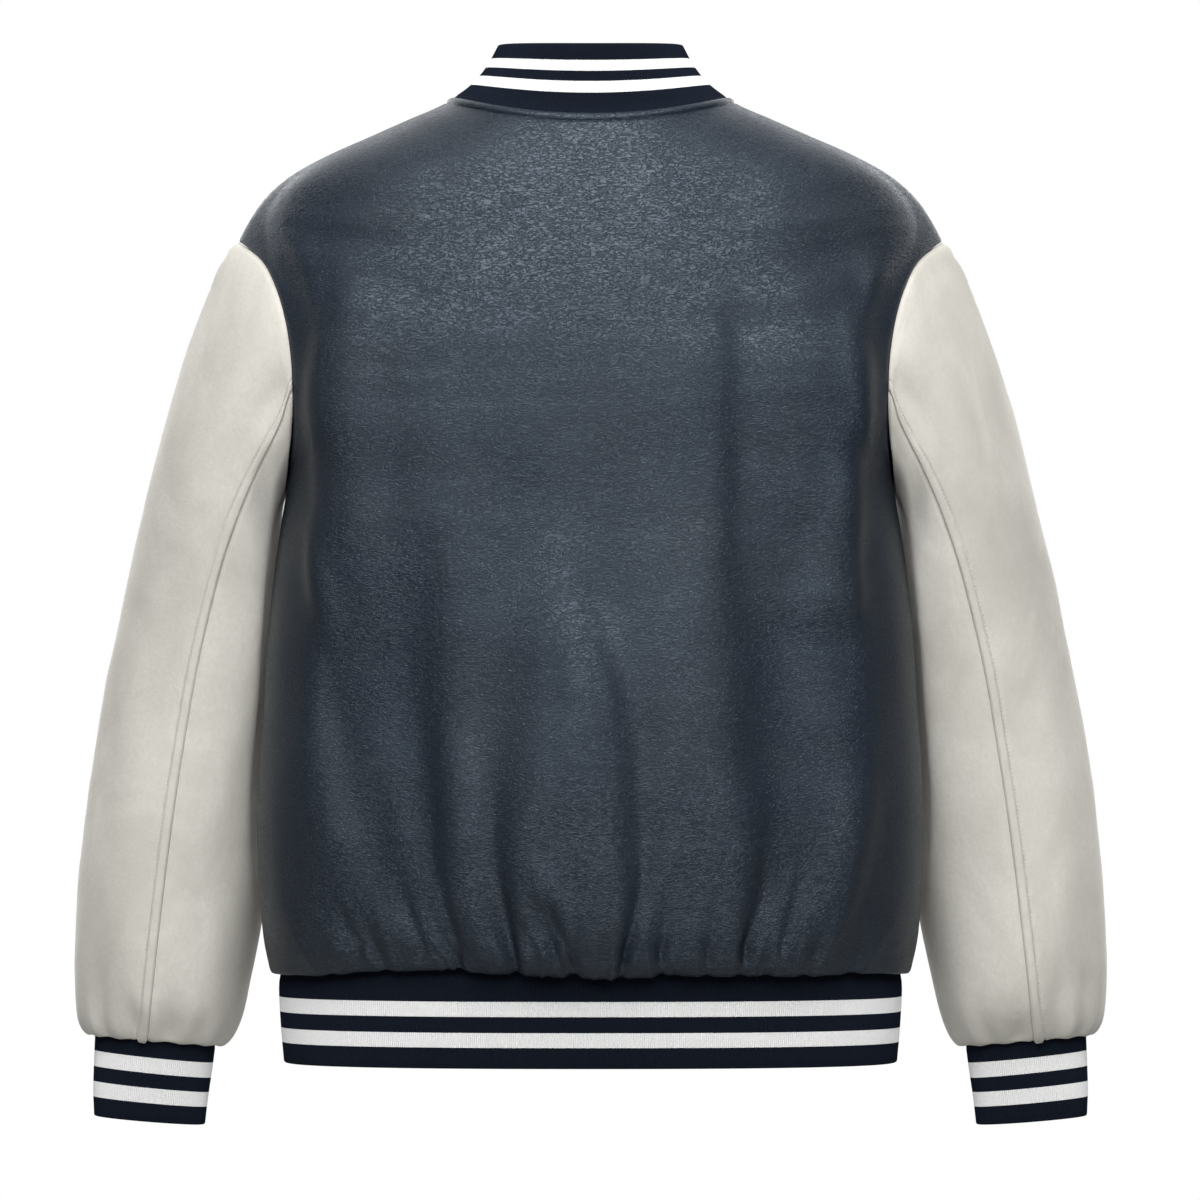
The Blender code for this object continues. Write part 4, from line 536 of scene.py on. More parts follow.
# ---------------------------------------------------------------- meshes
def chains(a_ids, a_at, b_ids, b_at):
    """Triangles between two chains of vertices that run side by side."""
    tris = []
    i = j = 0
    while i < len(a_ids) - 1 or j < len(b_ids) - 1:
        if j == len(b_ids) - 1 or (i < len(a_ids) - 1 and a_at[i + 1] <= b_at[j + 1]):
            tris.append((a_ids[i], a_ids[i + 1], b_ids[j]))
            i += 1
        else:
            tris.append((a_ids[i], b_ids[j + 1], b_ids[j]))
            j += 1
    return tris


def put_mesh(name, points, faces, mats, face_mats=None, sharp=50.0):
    points = np.asarray(points, float)
    mesh = bpy.data.meshes.new(name)
    mesh.from_pydata(points.tolist(), [], faces)
    mesh.update()
    # faces must point out: the enclosed volume is positive
    total = 0.0
    tri = np.zeros(len(mesh.loops), dtype=np.int32)
    mesh.loops.foreach_get("vertex_index", tri)
    mesh.calc_loop_triangles()
    t = np.zeros(len(mesh.loop_triangles) * 3, dtype=np.int32)
    mesh.loop_triangles.foreach_get("vertices", t)
    t = t.reshape(-1, 3)
    a, b, c = points[t[:, 0]], points[t[:, 1]], points[t[:, 2]]
    total = np.sum(a * np.cross(b, c))
    if total < 0:
        mesh.flip_normals()
    for m in mats:
        mesh.materials.append(m)
    if face_mats is not None:
        mesh.polygons.foreach_set("material_index", np.asarray(face_mats, dtype=np.int32))
    mesh.polygons.foreach_set("use_smooth", np.ones(len(mesh.polygons), dtype=bool))
    mesh.set_sharp_from_angle(angle=math.radians(sharp))
    obj = bpy.data.objects.new(name, mesh)
    bpy.context.scene.collection.objects.link(obj)
    return obj


def lowest(a, reach):
    """Least value within reach grid steps, so that a coarse grid through it
    stays under the fine one."""
    out = a.copy()
    for axis in (0, 1):
        src = np.moveaxis(out.copy(), axis, 0)
        dst = np.moveaxis(out, axis, 0)
        for k in range(1, reach + 1):
            dst[k:] = np.minimum(dst[k:], src[:-k])
            dst[:-k] = np.minimum(dst[:-k], src[k:])
    return out


def shell(name, outer, inner, mats, step=4, fine=None):
    """A closed cloth wall: a fine outer grid, a coarser inner one, and the
    edges between them. Above row fine the outer grid keeps every second
    column."""
    rows, cols = outer.shape[:2]
    fine = rows - 1 if fine is None else fine
    wide = np.array(sorted(set(list(range(0, cols, 2)) + [cols - 1])))
    every = np.arange(cols)
    ids = -np.ones((rows, cols), int)
    points, count = [], 0
    for r in range(rows):
        take = every if r <= fine else wide
        ids[r, take] = count + np.arange(len(take))
        points.append(outer[r, take])
        count += len(take)
    faces = []
    for r in range(rows - 1):
        if r < fine:
            f = np.stack([ids[r, :-1], ids[r, 1:], ids[r + 1, 1:], ids[r + 1, :-1]], -1)
            faces += f.tolist()
        elif r == fine:
            faces += chains(ids[r].tolist(), every.tolist(), ids[r + 1, wide].tolist(), wide.tolist())
        else:
            lo, hi = ids[r, wide], ids[r + 1, wide]
            faces += np.stack([lo[:-1], lo[1:], hi[1:], hi[:-1]], -1).tolist()
    kinds = [0] * len(faces)
    ri = np.array(sorted(set(list(range(0, rows, step)) + [rows - 1])))
    ci = np.array(sorted(set(list(range(0, cols, step)) + [cols - 1])))
    points.append(inner[np.ix_(ri, ci)].reshape(-1, 3))
    inn = count + np.arange(len(ri) * len(ci)).reshape(len(ri), len(ci))
    back = np.stack([inn[1:, :-1], inn[1:, 1:], inn[:-1, 1:], inn[:-1, :-1]], -1).reshape(-1, 4)
    faces += back.tolist()
    kinds += [1] * len(back)
    top = wide if fine < rows - 1 else every
    rims = []
    for a_ids, a_at, b_ids, b_at, flip in (
        (ids[0], every, inn[0], ci, True),
        (ids[-1, top], top, inn[-1], ci, False),
        (ids[:, 0], np.arange(rows), inn[:, 0], ri, False),
        (ids[:, -1], np.arange(rows), inn[:, -1], ri, True),
    ):
        tris = chains(a_ids.tolist(), a_at.tolist(), b_ids.tolist(), b_at.tolist())
        rims += [(t[0], t[2], t[1]) if flip else t for t in tris]
    faces += rims
    kinds += [0] * len(rims)
    return put_mesh(name, np.concatenate(points), faces, mats, kinds)


def tube_faces(rings, around, closed):
    """Quads of a grid whose rows wrap (around) or whose columns wrap."""
    out = []
    for r in range(rings - (0 if closed else 1)):
        for c in range(around):
            a = r * around + c
            b = r * around + (c + 1) % around
            d = ((r + 1) % rings) * around + (c + 1) % around
            e = ((r + 1) % rings) * around + c
            out.append((a, b, d, e))
    return out


def lengths(grid, axis):
    """Distance run along an axis of a grid of points, from its start."""
    step = np.linalg.norm(np.diff(grid, axis=axis), axis=-1)
    pad = [(0, 0), (0, 0)]
    pad[axis] = (1, 0)
    return np.cumsum(np.pad(step, pad), axis=axis)


# ---------------------------------------------------------------- body form
def body_values(row):
    return track(BODY, row, (UNDERARM, SHOULDER_TIP), slice(0, 6))


def body_surface(row, turn, front):
    """Points at rows (R,) and turns (R, C), 0 centre line to 1 panel edge."""
    v = body_values(row)
    edge = v[:, 3:6] if front else v[:, 0:3]
    cy, cz = (v[:, 8], v[:, 9]) if front else (v[:, 6], v[:, 7])
    mid = v[:, 12] if front else v[:, 10]
    p = 2.0 / v[:, 11]
    share = np.clip((edge[:, 1] - mid) / (cy - mid), 0.0, 1.0)
    end = np.arccos(share ** (1.0 / p))
    wide = edge[:, 0] / np.sin(end) ** p
    a = end[:, None] * turn
    p = p[:, None]
    x = wide[:, None] * np.sin(a) ** p
    y = mid[:, None] + (cy - mid)[:, None] * np.clip(np.cos(a), 0, 1) ** p
    z = cz[:, None] + (edge[:, 2] - cz)[:, None] * np.sin(0.5 * math.pi * turn) ** 2
    return np.stack([x, y, z], -1)


def even_turns(row, share, front):
    """Turns at which the section has run the given shares of its length."""
    t = np.linspace(0, 1, 300) ** 1.5
    pts = body_surface(row, np.tile(t, (len(row), 1)), front)
    run = lengths(pts, 1)
    run /= run[:, -1:]
    return np.stack([np.interp(share, run[k], t) for k in range(len(row))])


def graded(total, fine_start, fine_end, coarse, fine, reach):
    """Shares 0 to 1 along a length: fine steps near chosen ends."""
    at = [0.0]
    while at[-1] < total:
        d0 = at[-1] if fine_start else 1e9
        d1 = total - at[-1] if fine_end else 1e9
        near = min(d0, d1)
        step = fine + (coarse - fine) * float(ease((near - reach) / reach))
        at.append(at[-1] + step)
    at = np.array(at)
    return at / at[-1]


# rows: fine over the hem gathers and under the collar
centre_run = body_surface(np.linspace(0, NECK, 1401), np.zeros((1401, 1)), False)[:, 0]
run = np.concatenate([[0], np.cumsum(np.linalg.norm(np.diff(centre_run, axis=0), axis=1))])
BODY_LENGTH = run[-1]
row_at = []
s = 0.0
while s < BODY_LENGTH:
    row_at.append(s)
    if s < 0.044:
        s += 0.0011
    elif s < 0.085:
        s += 0.0020
    elif s > BODY_LENGTH - 0.011:
        s += 0.00065
    else:
        s += 0.0026
row_at.append(BODY_LENGTH)
ROW_FINE = np.interp(row_at, run, np.linspace(0, NECK, 1401))
GATHER_ROWS = int(np.searchsorted(row_at, 0.044))
BODY_CENTRE_LINE = lambda g: np.stack([g[..., 0] * 0, g[..., 1] * 0, g[..., 2]], -1)


def neck_roll(d):
    """Turned edge below the collar: a roll, then its stitched groove."""
    u = np.clip((d - NECK_ROLL / 2) / (NECK_ROLL / 2), -1, 1)
    roll = 0.0013 * np.sqrt(1 - u**2) * (d < NECK_ROLL)
    groove = -0.0007 * np.exp(-(((d - NECK_ROLL - 0.0005) / 0.0009) ** 2))
    return roll + groove


def seam_dip(d, deep=0.0010, reach=0.0026):
    return -deep * np.exp(-((d / reach) ** 2))


def dress_body(base, front, side=0):
    """Relief of a body panel, and its outer and inner surfaces."""
    n = face_out(base, grid_normals(base), BODY_CENTRE_LINE(base))
    x, z = base[..., 0], base[..., 2]
    across = lengths(base, 1)
    down = lengths(base[::-1], 0)[::-1]
    up = lengths(base, 0)
    d_side = across[:, -1:] - across
    d_side = np.minimum(across, d_side) if not front else d_side
    from_neck = down
    above = up - 0.004
    folds = crease_height(x, z, FRONT_CREASES if front else BACK_CREASES)
    # creases die out towards the seams and the neck
    keep = ease(d_side / np.where(z > BODY[UNDERARM, 2], 0.005, 0.012)) * ease(from_neck / 0.03)
    if front:
        keep = keep * ease((np.abs(x) - PLACKET_HALF - 0.002) / 0.028)
    if front:
        own = [f for f in FRONT_FACES if f[1][0][0] * side > 0]
        folds = folds + face_height(x, z, own)
    else:
        heights, outs = zip(*BACK_HANG[::-1])
        folds = folds + face_height(x, z, BACK_FACES) + through(z, heights, outs) * ease((0.235 - np.abs(x)) / 0.10)
    folds = folds * keep
    gathers = FRONT_GATHERS if front else BACK_GATHERS
    deep, lift = gather_height(x, above, gathers)
    hem_keep = ease((d_side - 0.003) / 0.010) * (ease((np.abs(x) - PLACKET_HALF - 0.001) / 0.008) if front else 1.0)
    swell = soft_noise(base, (0.045, 0.045, 0.075), 5 + side) * 0.0004
    swell += soft_noise(base, (0.014, 0.014, 0.010), 9 + side) * 0.00004
    swell *= ease(d_side / 0.010) * ease(from_neck / 0.015) * ease(up / 0.02)
    if front:
        swell = swell * ease((np.abs(x) - PLACKET_HALF) / 0.01)
    # where the cloth turns under, the gathers run out into a plain edge
    turned = 0.22 + 0.78 * ease((n[..., 2] + 0.88) / 0.55)
    big = folds + swell - deep * hem_keep * turned
    small = neck_roll(from_neck) + seam_dip(d_side)
    # the lower edge is drawn up at each gather and bellies down between them
    edge_near = np.exp(-((up / 0.010) ** 2))
    raise_z = (lift * hem_keep - 0.0005 * hem_keep) * edge_near
    outer = base + n * (big + small)[..., None]
    outer[..., 2] += raise_z
    n2 = face_out(outer, grid_normals(outer), BODY_CENTRE_LINE(outer))
    inner = base + n * (lowest(big + small, 6) - LEATHER_WALL)[..., None]
    inner[..., 2] += raise_z
    return outer, inner, n2, n


def soften(base, from_edge):
    """Rounds the cloth inside the corners of its armhole seam; the seam
    itself keeps its corners."""
    out = base.copy()
    near = np.zeros(len(ROW_FINE))
    for corner, reach in ((UNDERARM, 1.6), (SHOULDER_TIP, 3.0)):
        near = np.maximum(near, np.exp(-(((ROW_FINE - corner) / reach) ** 2)))
    share = near[:, None] * ease((from_edge - 0.0010) / 0.016)
    for _ in range(90):
        out[1:-1] += (0.5 * (out[:-2] + out[2:]) - out[1:-1]) * share[1:-1, :, None] * 0.9
    return out


half_share = graded(0.27, False, True, 0.00115, 0.0007, 0.003)
back_turn = even_turns(ROW_FINE, half_share, False)
right_half = body_surface(ROW_FINE, back_turn, False)
back_base = np.concatenate([right_half[:, 1:][:, ::-1] * (-1, 1, 1), right_half], axis=1)
run_across = lengths(back_base, 1)
back_base = soften(back_base, np.minimum(run_across, run_across[:, -1:] - run_across))
back_outer, back_inner, _, back_n = dress_body(back_base, False)

front_turn = even_turns(ROW_FINE, graded(0.27, False, True, 0.00125, 0.0007, 0.003), True)
front_half = body_surface(ROW_FINE, front_turn, True)
run_across = lengths(front_half, 1)
front_half = soften(front_half, run_across[:, -1:] - run_across)
front_data = {}
for name, side in (("left", 1), ("right", -1)):
    g = front_half * (side, 1, 1)
    g[:, 0, 0] = side * SEAM / 2
    front_data[name] = dress_body(g, True, side)


# ---------------------------------------------------------------- sleeves
def body_side_x(y, z):
    rows = BODY[: UNDERARM + 1]
    rows = rows[np.argsort(rows[:, 2])]
    wide = np.interp(z, rows[:, 2], rows[:, 0])
    mid = np.interp(z, rows[:, 2], rows[:, 10])
    deep_back = np.interp(z, rows[:, 2], rows[:, 6]) - mid
    deep_front = mid - np.interp(z, rows[:, 2], rows[:, 8])
    sq = np.interp(z, rows[:, 2], rows[:, 11])
    deep = np.where(y > mid, deep_back, deep_front)
    share = np.clip(np.abs(y - mid) / deep, 0, 0.995)
    return wide * (1 - share**sq) ** (1 / sq)


FINE_UP = np.linspace(UNDERARM, SHOULDER_TIP, 241)


def armhole_line(side):
    v = body_values(FINE_UP)
    back_half = v[:, 0:3] * (side, 1, 1)
    front_half_line = v[:, 3:6] * (side, 1, 1)

    def turns(line):
        r = np.concatenate([[0], np.cumsum(np.linalg.norm(np.diff(line, axis=0), axis=1))])
        return 180.0 * (1 - r / r[-1])

    tb, tf = turns(back_half), turns(front_half_line)
    line = np.concatenate([back_half, front_half_line[::-1][1:]])
    turn = np.concatenate([tb, -tf[::-1][1:]])
    seam_b = np.interp(SEAM_BACK, FINE_UP, tb)
    seam_f = np.interp(SEAM_FRONT, FINE_UP, tf)
    return line, turn, seam_b, seam_f


def sleeve_frame(row):
    v = track(SLEEVE, row)
    return v


def sleeve_ring(v, turn, side):
    a = np.radians(turn)
    ox, oz, ix, iz, my, hy = (v[:, i : i + 1] for i in range(6))
    x = (ox + ix) / 2 + (ox - ix) / 2 * np.cos(a)
    z = (oz + iz) / 2 + (oz - iz) / 2 * np.cos(a)
    y = my + hy * np.sin(a)
    return np.stack([x * side, y, z], -1)


def sleeve_base(row, turn, side):
    """Sleeve form at rows (R,) and turns (R, C)."""
    line, turn0, _, _ = armhole_line(side)
    v = sleeve_frame(row)
    ring = sleeve_ring(v, turn, side)
    v0 = sleeve_frame(np.zeros(1))
    shift = line - sleeve_ring(v0, turn0[None], side)[0]
    own = np.concatenate([turn0 - 360.0, turn0])
    both = np.concatenate([shift, shift])
    order = np.argsort(own, kind="stable")
    own, both = own[order], both[order]
    add = np.stack([np.interp(turn, own, both[:, i]) for i in range(3)], -1)
    s = (row / (len(SLEEVE) - 1))[:, None]
    ring = ring + add * (1 - ease(s / SLEEVE_BLEND))[..., None]
    middle = np.stack([side * (v[:, 0] + v[:, 2]) / 2, v[:, 4], (v[:, 1] + v[:, 3]) / 2], -1)[:, None]
    rise = np.zeros_like(turn)
    for at, about, length, width, depth, slant in SLEEVE_FOLDS:
        off = (turn - about + 180.0) % 360.0 - 180.0
        along = (s - at) / (0.5 * length)
        rise += depth * np.exp(-((off / width) ** 2) - along**2)
    rise *= ease(s / 0.12) * ease((1 - s) / 0.12)
    ring = ring + unit(ring - middle) * rise[..., None]
    # clear of the body's side
    clear = 0.0010 + ARM_CLEAR * ease(row / 3.0)[:, None]
    low = ease((BODY[UNDERARM, 2] + 0.004 - ring[..., 2]) / 0.016) * ease(s / 0.03)
    least = body_side_x(ring[..., 1], ring[..., 2]) + clear
    x = ring[..., 0] * side
    soft = 0.0015
    pushed = least + soft * np.logaddexp(0, (x - least) / soft)
    ring[..., 0] = side * (x + (pushed - x) * low)
    return ring, middle


def sleeve_run():
    """Sleeve rows at chosen steps along the outer edge."""
    r = np.linspace(0, len(SLEEVE) - 1, 1601)
    v = sleeve_frame(r)
    p = np.stack([v[:, 0], v[:, 1]], -1)
    d = np.concatenate([[0], np.cumsum(np.linalg.norm(np.diff(p, axis=0), axis=1))])
    at, s = [], 0.0
    total = d[-1]
    while s < total:
        at.append(s)
        if s < 0.012:
            s += 0.0009
        elif s > total - 0.045:
            s += 0.0012
        else:
            s += 0.0026
    at.append(total)
    return np.interp(at, d, r)


SLEEVE_ROWS = sleeve_run()


def dress_sleeve(name, side):
    """Outer and inner grids of the upper and the under piece."""
    line, turn0, seam_b, seam_f = armhole_line(side)
    v = sleeve_frame(SLEEVE_ROWS)
    blend = ease(SLEEVE_ROWS / 1.0)
    bt = seam_b * (1 - blend) + v[:, 6] * blend
    ft = -(seam_f * (1 - blend) + v[:, 7] * blend)
    s = (SLEEVE_ROWS / (len(SLEEVE) - 1))[:, None]
    out = {}
    share_u = graded(0.21, True, True, 0.0026, 0.0008, 0.012)
    share_n = graded(0.17, True, True, 0.0030, 0.0009, 0.008)
    for piece, first, last, share in (
        ("upper", bt, ft, share_u),
        ("under", ft, bt - 360.0, share_n),
    ):
        turn = first[:, None] + (last - first)[:, None] * share[None]
        base, middle = sleeve_base(SLEEVE_ROWS, turn, side)
        n = face_out(base, grid_normals(base), middle)
        across = lengths(base, 1)
        d_first, d_last = across, across[:, -1:] - across
        along = lengths(base, 0)
        d_cuff = lengths(base[::-1], 0)[::-1]
        rise = np.zeros_like(turn)
        for at, about, length, width, depth, slant in SLEEVE_SOFT[name]:
            off = (turn - about - slant * (s - at) + 180.0) % 360.0 - 180.0
            u = (s - at) / (0.5 * length)
            rise += depth * np.exp(-((off / width) ** 2) - u**2)
        rise *= ease((1 - s) / 0.10) * ease(along / 0.012)
        swell = soft_noise(base, (0.05, 0.05, 0.07), 21 if side > 0 else 31) * 0.0008
        swell += soft_noise(base, (0.014, 0.014, 0.016), 25 if side > 0 else 35) * 0.00013
        swell *= ease(along / 0.02) * ease(d_cuff / 0.02)
        pull = np.zeros_like(turn)
        lift = np.zeros_like(turn)
        for about, depth, length, width in CUFF_GATHERS[name]:
            off = (turn - about + 180.0) % 360.0 - 180.0
            fade = np.exp(-((d_cuff / (length * 0.55)) ** 1.5))
            wide = width * (1.0 + 0.7 * d_cuff / length)
            pull += depth * fade * (np.exp(-np.abs(off / wide) ** 1.6) - 0.4 * np.exp(-((np.abs(off / wide) - 2.0) ** 2) / 0.5))
            lift += depth * 0.18 * np.exp(-np.abs(off / (width * 1.6)) ** 2)
        # seams: the band held by the topstitch stands up on the upper piece
        band = np.zeros_like(turn)
        if piece == "upper":
            for d in (d_first, d_last):
                inside = ease(d / 0.0012) * (1 - ease((d - SLEEVE_BAND + 0.0022) / 0.0022))
                band += 0.0014 * inside
                band -= 0.0009 * np.exp(-(((d - SLEEVE_BAND) / 0.0010) ** 2))
                band += seam_dip(d, 0.0007, 0.0010)
            # fine puckers along the topstitching
            for d, q in ((d_first, 0.0), (d_last, 1.7)):
                wave = np.sin(along / 0.0042 + q + 2.2 * np.sin(along / 0.021 + q))
                band += 0.00016 * wave * np.exp(-(((d - SLEEVE_BAND) / 0.004) ** 2))
        else:
            for d in (d_first, d_last):
                band += seam_dip(d, 0.0011, 0.0022)
        head = seam_dip(along, 0.0012, 0.0022) + 0.0003 * np.exp(-(((along - 0.008) / 0.006) ** 2))
        turned = 0.22 + 0.78 * ease((n[..., 2] + 0.88) / 0.55)
        big = rise + swell - pull * turned
        small = band + head
        outer = base + n * (big + small)[..., None]
        edge_near = np.exp(-((d_cuff / 0.011) ** 2))
        outer[..., 2] += (lift - 0.0004) * edge_near
        inner = base + n * (lowest(big + small, 6) - SUEDE_WALL)[..., None]
        inner[..., 2] += (lift - 0.0004) * edge_near
        # the two pieces stop a gap apart
        step = unit(np.gradient(outer, axis=1))
        outer[:, 0] += step[:, 0] * SEAM / 2
        outer[:, -1] -= step[:, -1] * SEAM / 2
        inner[:, 0] += step[:, 0] * SEAM / 2
        inner[:, -1] -= step[:, -1] * SEAM / 2
        n_out = face_out(outer, grid_normals(outer), middle)
        out[piece] = dict(outer=outer, inner=inner, n=n_out, d_first=d_first, d_last=d_last, middle=middle)
    return out


sleeves = {name: dress_sleeve(name, side) for name, side in (("left", 1), ("right", -1))}


# ---------------------------------------------------------------- ribs
def ring_section(edge, centre, mid_y, square, turn):
    p = 2.0 / square
    share = np.clip((edge[1] - mid_y) / (centre[0] - mid_y), 0.0, 1.0)
    end = math.acos(share ** (1.0 / p))
    wide = edge[0] / math.sin(end) ** p
    a = end * turn
    x = wide * np.sin(a) ** p
    y = mid_y + (centre[0] - mid_y) * np.clip(np.cos(a), 0, 1) ** p
    z = centre[1] + (edge[2] - centre[1]) * np.sin(0.5 * math.pi * turn) ** 2
    return np.stack([x, y, z], -1)


def rib_ring(values, columns, gap):
    """One ring of a body rib, from the left end at the centre front round the
    back to the right end, evenly spaced."""
    sx, sy, sz, by, bz, fy, fz, sq = values
    t = np.linspace(0, 1, 500) ** 1.5
    f = ring_section((sx, sy, sz), (fy, fz), sy, sq, t)
    b = ring_section((sx, sy, sz), (by, bz), sy, sq, t)
    half = np.concatenate([f[:-1], b[::-1]])
    d = np.concatenate([[0], np.cumsum(np.linalg.norm(np.diff(half, axis=0), axis=1))])
    start = np.interp(gap / 2, half[:60, 0], d[:60])
    left = columns // 2 + 1
    s = np.linspace(start, d[-1], left)
    pts = np.stack([np.interp(s, d, half[:, i]) for i in range(3)], -1)
    return np.concatenate([pts, pts[::-1][1:] * (-1, 1, 1)])


def rib_profile(depth_rows, wall, seam_end=0.0):
    """Rows down the outer face only: (share of depth, 0.0, 1.0) for each share; no fold and no inner face."""
    out = [(s, 0.0, 1.0) for s in depth_rows]
    return out


def stripe_rows(stripes, rows):
    """Shares of depth from the seam (0) to the fold (1), with rows on every
    stripe's edges."""
    marks = [0.0]
    for a, b in stripes:
        marks += [a, b]
    marks.append(1.0)
    out = []
    for a, b in zip(marks[:-1], marks[1:]):
        n = max(2, int(round((b - a) * rows)))
        out += list(np.linspace(a, b, n, endpoint=False))
    out.append(1.0)
    return np.array(out)


def rib_mesh(name, rings, wall_dirs, down_dirs, shares, stripes, wall, wrap, mats, rise=RIB_RISE):
    """A doubled rib band. rings (R, C, 3) run from the seam to the fold; every
    fourth column is a rib's crest."""
    rows, cols = rings.shape[:2]
    phase = np.arange(cols) % 4
    crest = np.where(phase == 0, 1.0, np.where(phase == 2, -1.0, 0.0))
    calm = ease(np.minimum(shares, 1.0) / 0.05)[:, None]
    outer = rings - wall_dirs * (rise * crest[None] * calm)[..., None]
    # the fold: a half round from the outer to the inner face
    layers = [outer]
    fold = []
    last, w, dn = rings[-1], wall_dirs[-1], down_dirs
    radius = wall / 2
    for ang in (30, 60, 90, 120, 150):
        a = math.radians(ang)
        out_part = radius * (1 - math.cos(a))
        p = last + w * out_part + dn * radius * math.sin(a)
        p = p - w * (rise * crest * math.cos(a))[:, None]
        fold.append(p)
    layers.append(np.array(fold))
    back_rows = [rows - 1, (rows - 1) * 2 // 3, (rows - 1) // 3, 0]
    layers.append(np.array([rings[k] + wall_dirs[k] * (wall - rise * 0.5 * crest[:, None]) for k in back_rows]))
    grid = np.concatenate(layers)
    total = len(grid)
    points = grid.reshape(-1, 3)
    r, c = np.meshgrid(np.arange(total), np.arange(cols if wrap else cols - 1), indexing="ij")
    c2 = (c + 1) % cols
    r2 = (r + 1) % total
    faces = np.stack([r * cols + c, r * cols + c2, r2 * cols + c2, r2 * cols + c], -1)
    kinds = np.zeros(faces.shape[:2], int)
    for k in range(rows - 1):
        mid = (shares[k] + shares[k + 1]) / 2
        if any(a < mid < b for a, b in stripes):
            kinds[k] = 1
    # only the outer face carries the stripes: the fold and the inner face keep the first material
    faces = faces.reshape(-1, 4).tolist()
    kinds = kinds.reshape(-1).tolist()
    if not wrap:
        for col in (0, cols - 1):
            loop = [k * cols + col for k in range(total)]
            half = total // 2
            # fan between outer and inner columns
            i, j = 0, total - 1
            while j - i > 1:
                if j - i == 2:
                    tri = (loop[i], loop[i + 1], loop[j])
                    faces.append(tri[::-1] if col else tri)
                    kinds.append(0)
                    break
                if i < rows - 1 and (i % 4 or j <= rows + 5):
                    tri = (loop[i], loop[i + 1], loop[j])
                    faces.append(tri[::-1] if col else tri)
                    kinds.append(0)
                    i += 1
                elif j > rows + 4 or i >= rows - 1:
                    tri = (loop[i], loop[j - 1], loop[j])
                    faces.append(tri[::-1] if col else tri)
                    kinds.append(0)
                    j -= 1
                else:
                    tri = (loop[i], loop[i + 1], loop[j])
                    faces.append(tri[::-1] if col else tri)
                    kinds.append(0)
                    i += 1
    return put_mesh(name, points, faces, mats, kinds, sharp=75.0)


def body_rib(name, table, columns, rows, gap, mats, seam_wall=None):
    stripes = STRIPES[name]
    shares = stripe_rows(stripes, rows)
    values = track(table, shares * (len(table) - 1))
    # the table's rows are not evenly spaced: use the depth actually run
    probe = track(table, np.linspace(0, len(table) - 1, 200))
    run_c = np.concatenate([[0], np.cumsum(np.linalg.norm(np.diff(probe[:, 3:5], axis=0), axis=1))])
    at = np.interp(shares * run_c[-1], run_c, np.linspace(0, len(table) - 1, 200))
    values = track(table, at)
    rings = np.array([rib_ring(v, columns, gap) for v in values])
    centre = np.stack([np.zeros(len(rings)), np.zeros(len(rings)), rings[:, :, 2].mean(1)], -1)[:, None]
    n = face_out(rings, grid_normals(rings), centre)
    wall = -n
    if name == "hem_band":
        wall[..., 2] = 0.0
        rings[0, :, 2] -= SEAM
    wall[:, 0, 0] = 0.0
    wall[:, -1, 0] = 0.0
    wall = unit(wall)
    down = unit(rings[-1] - rings[-2])
    return rings, wall, down, shares, stripes


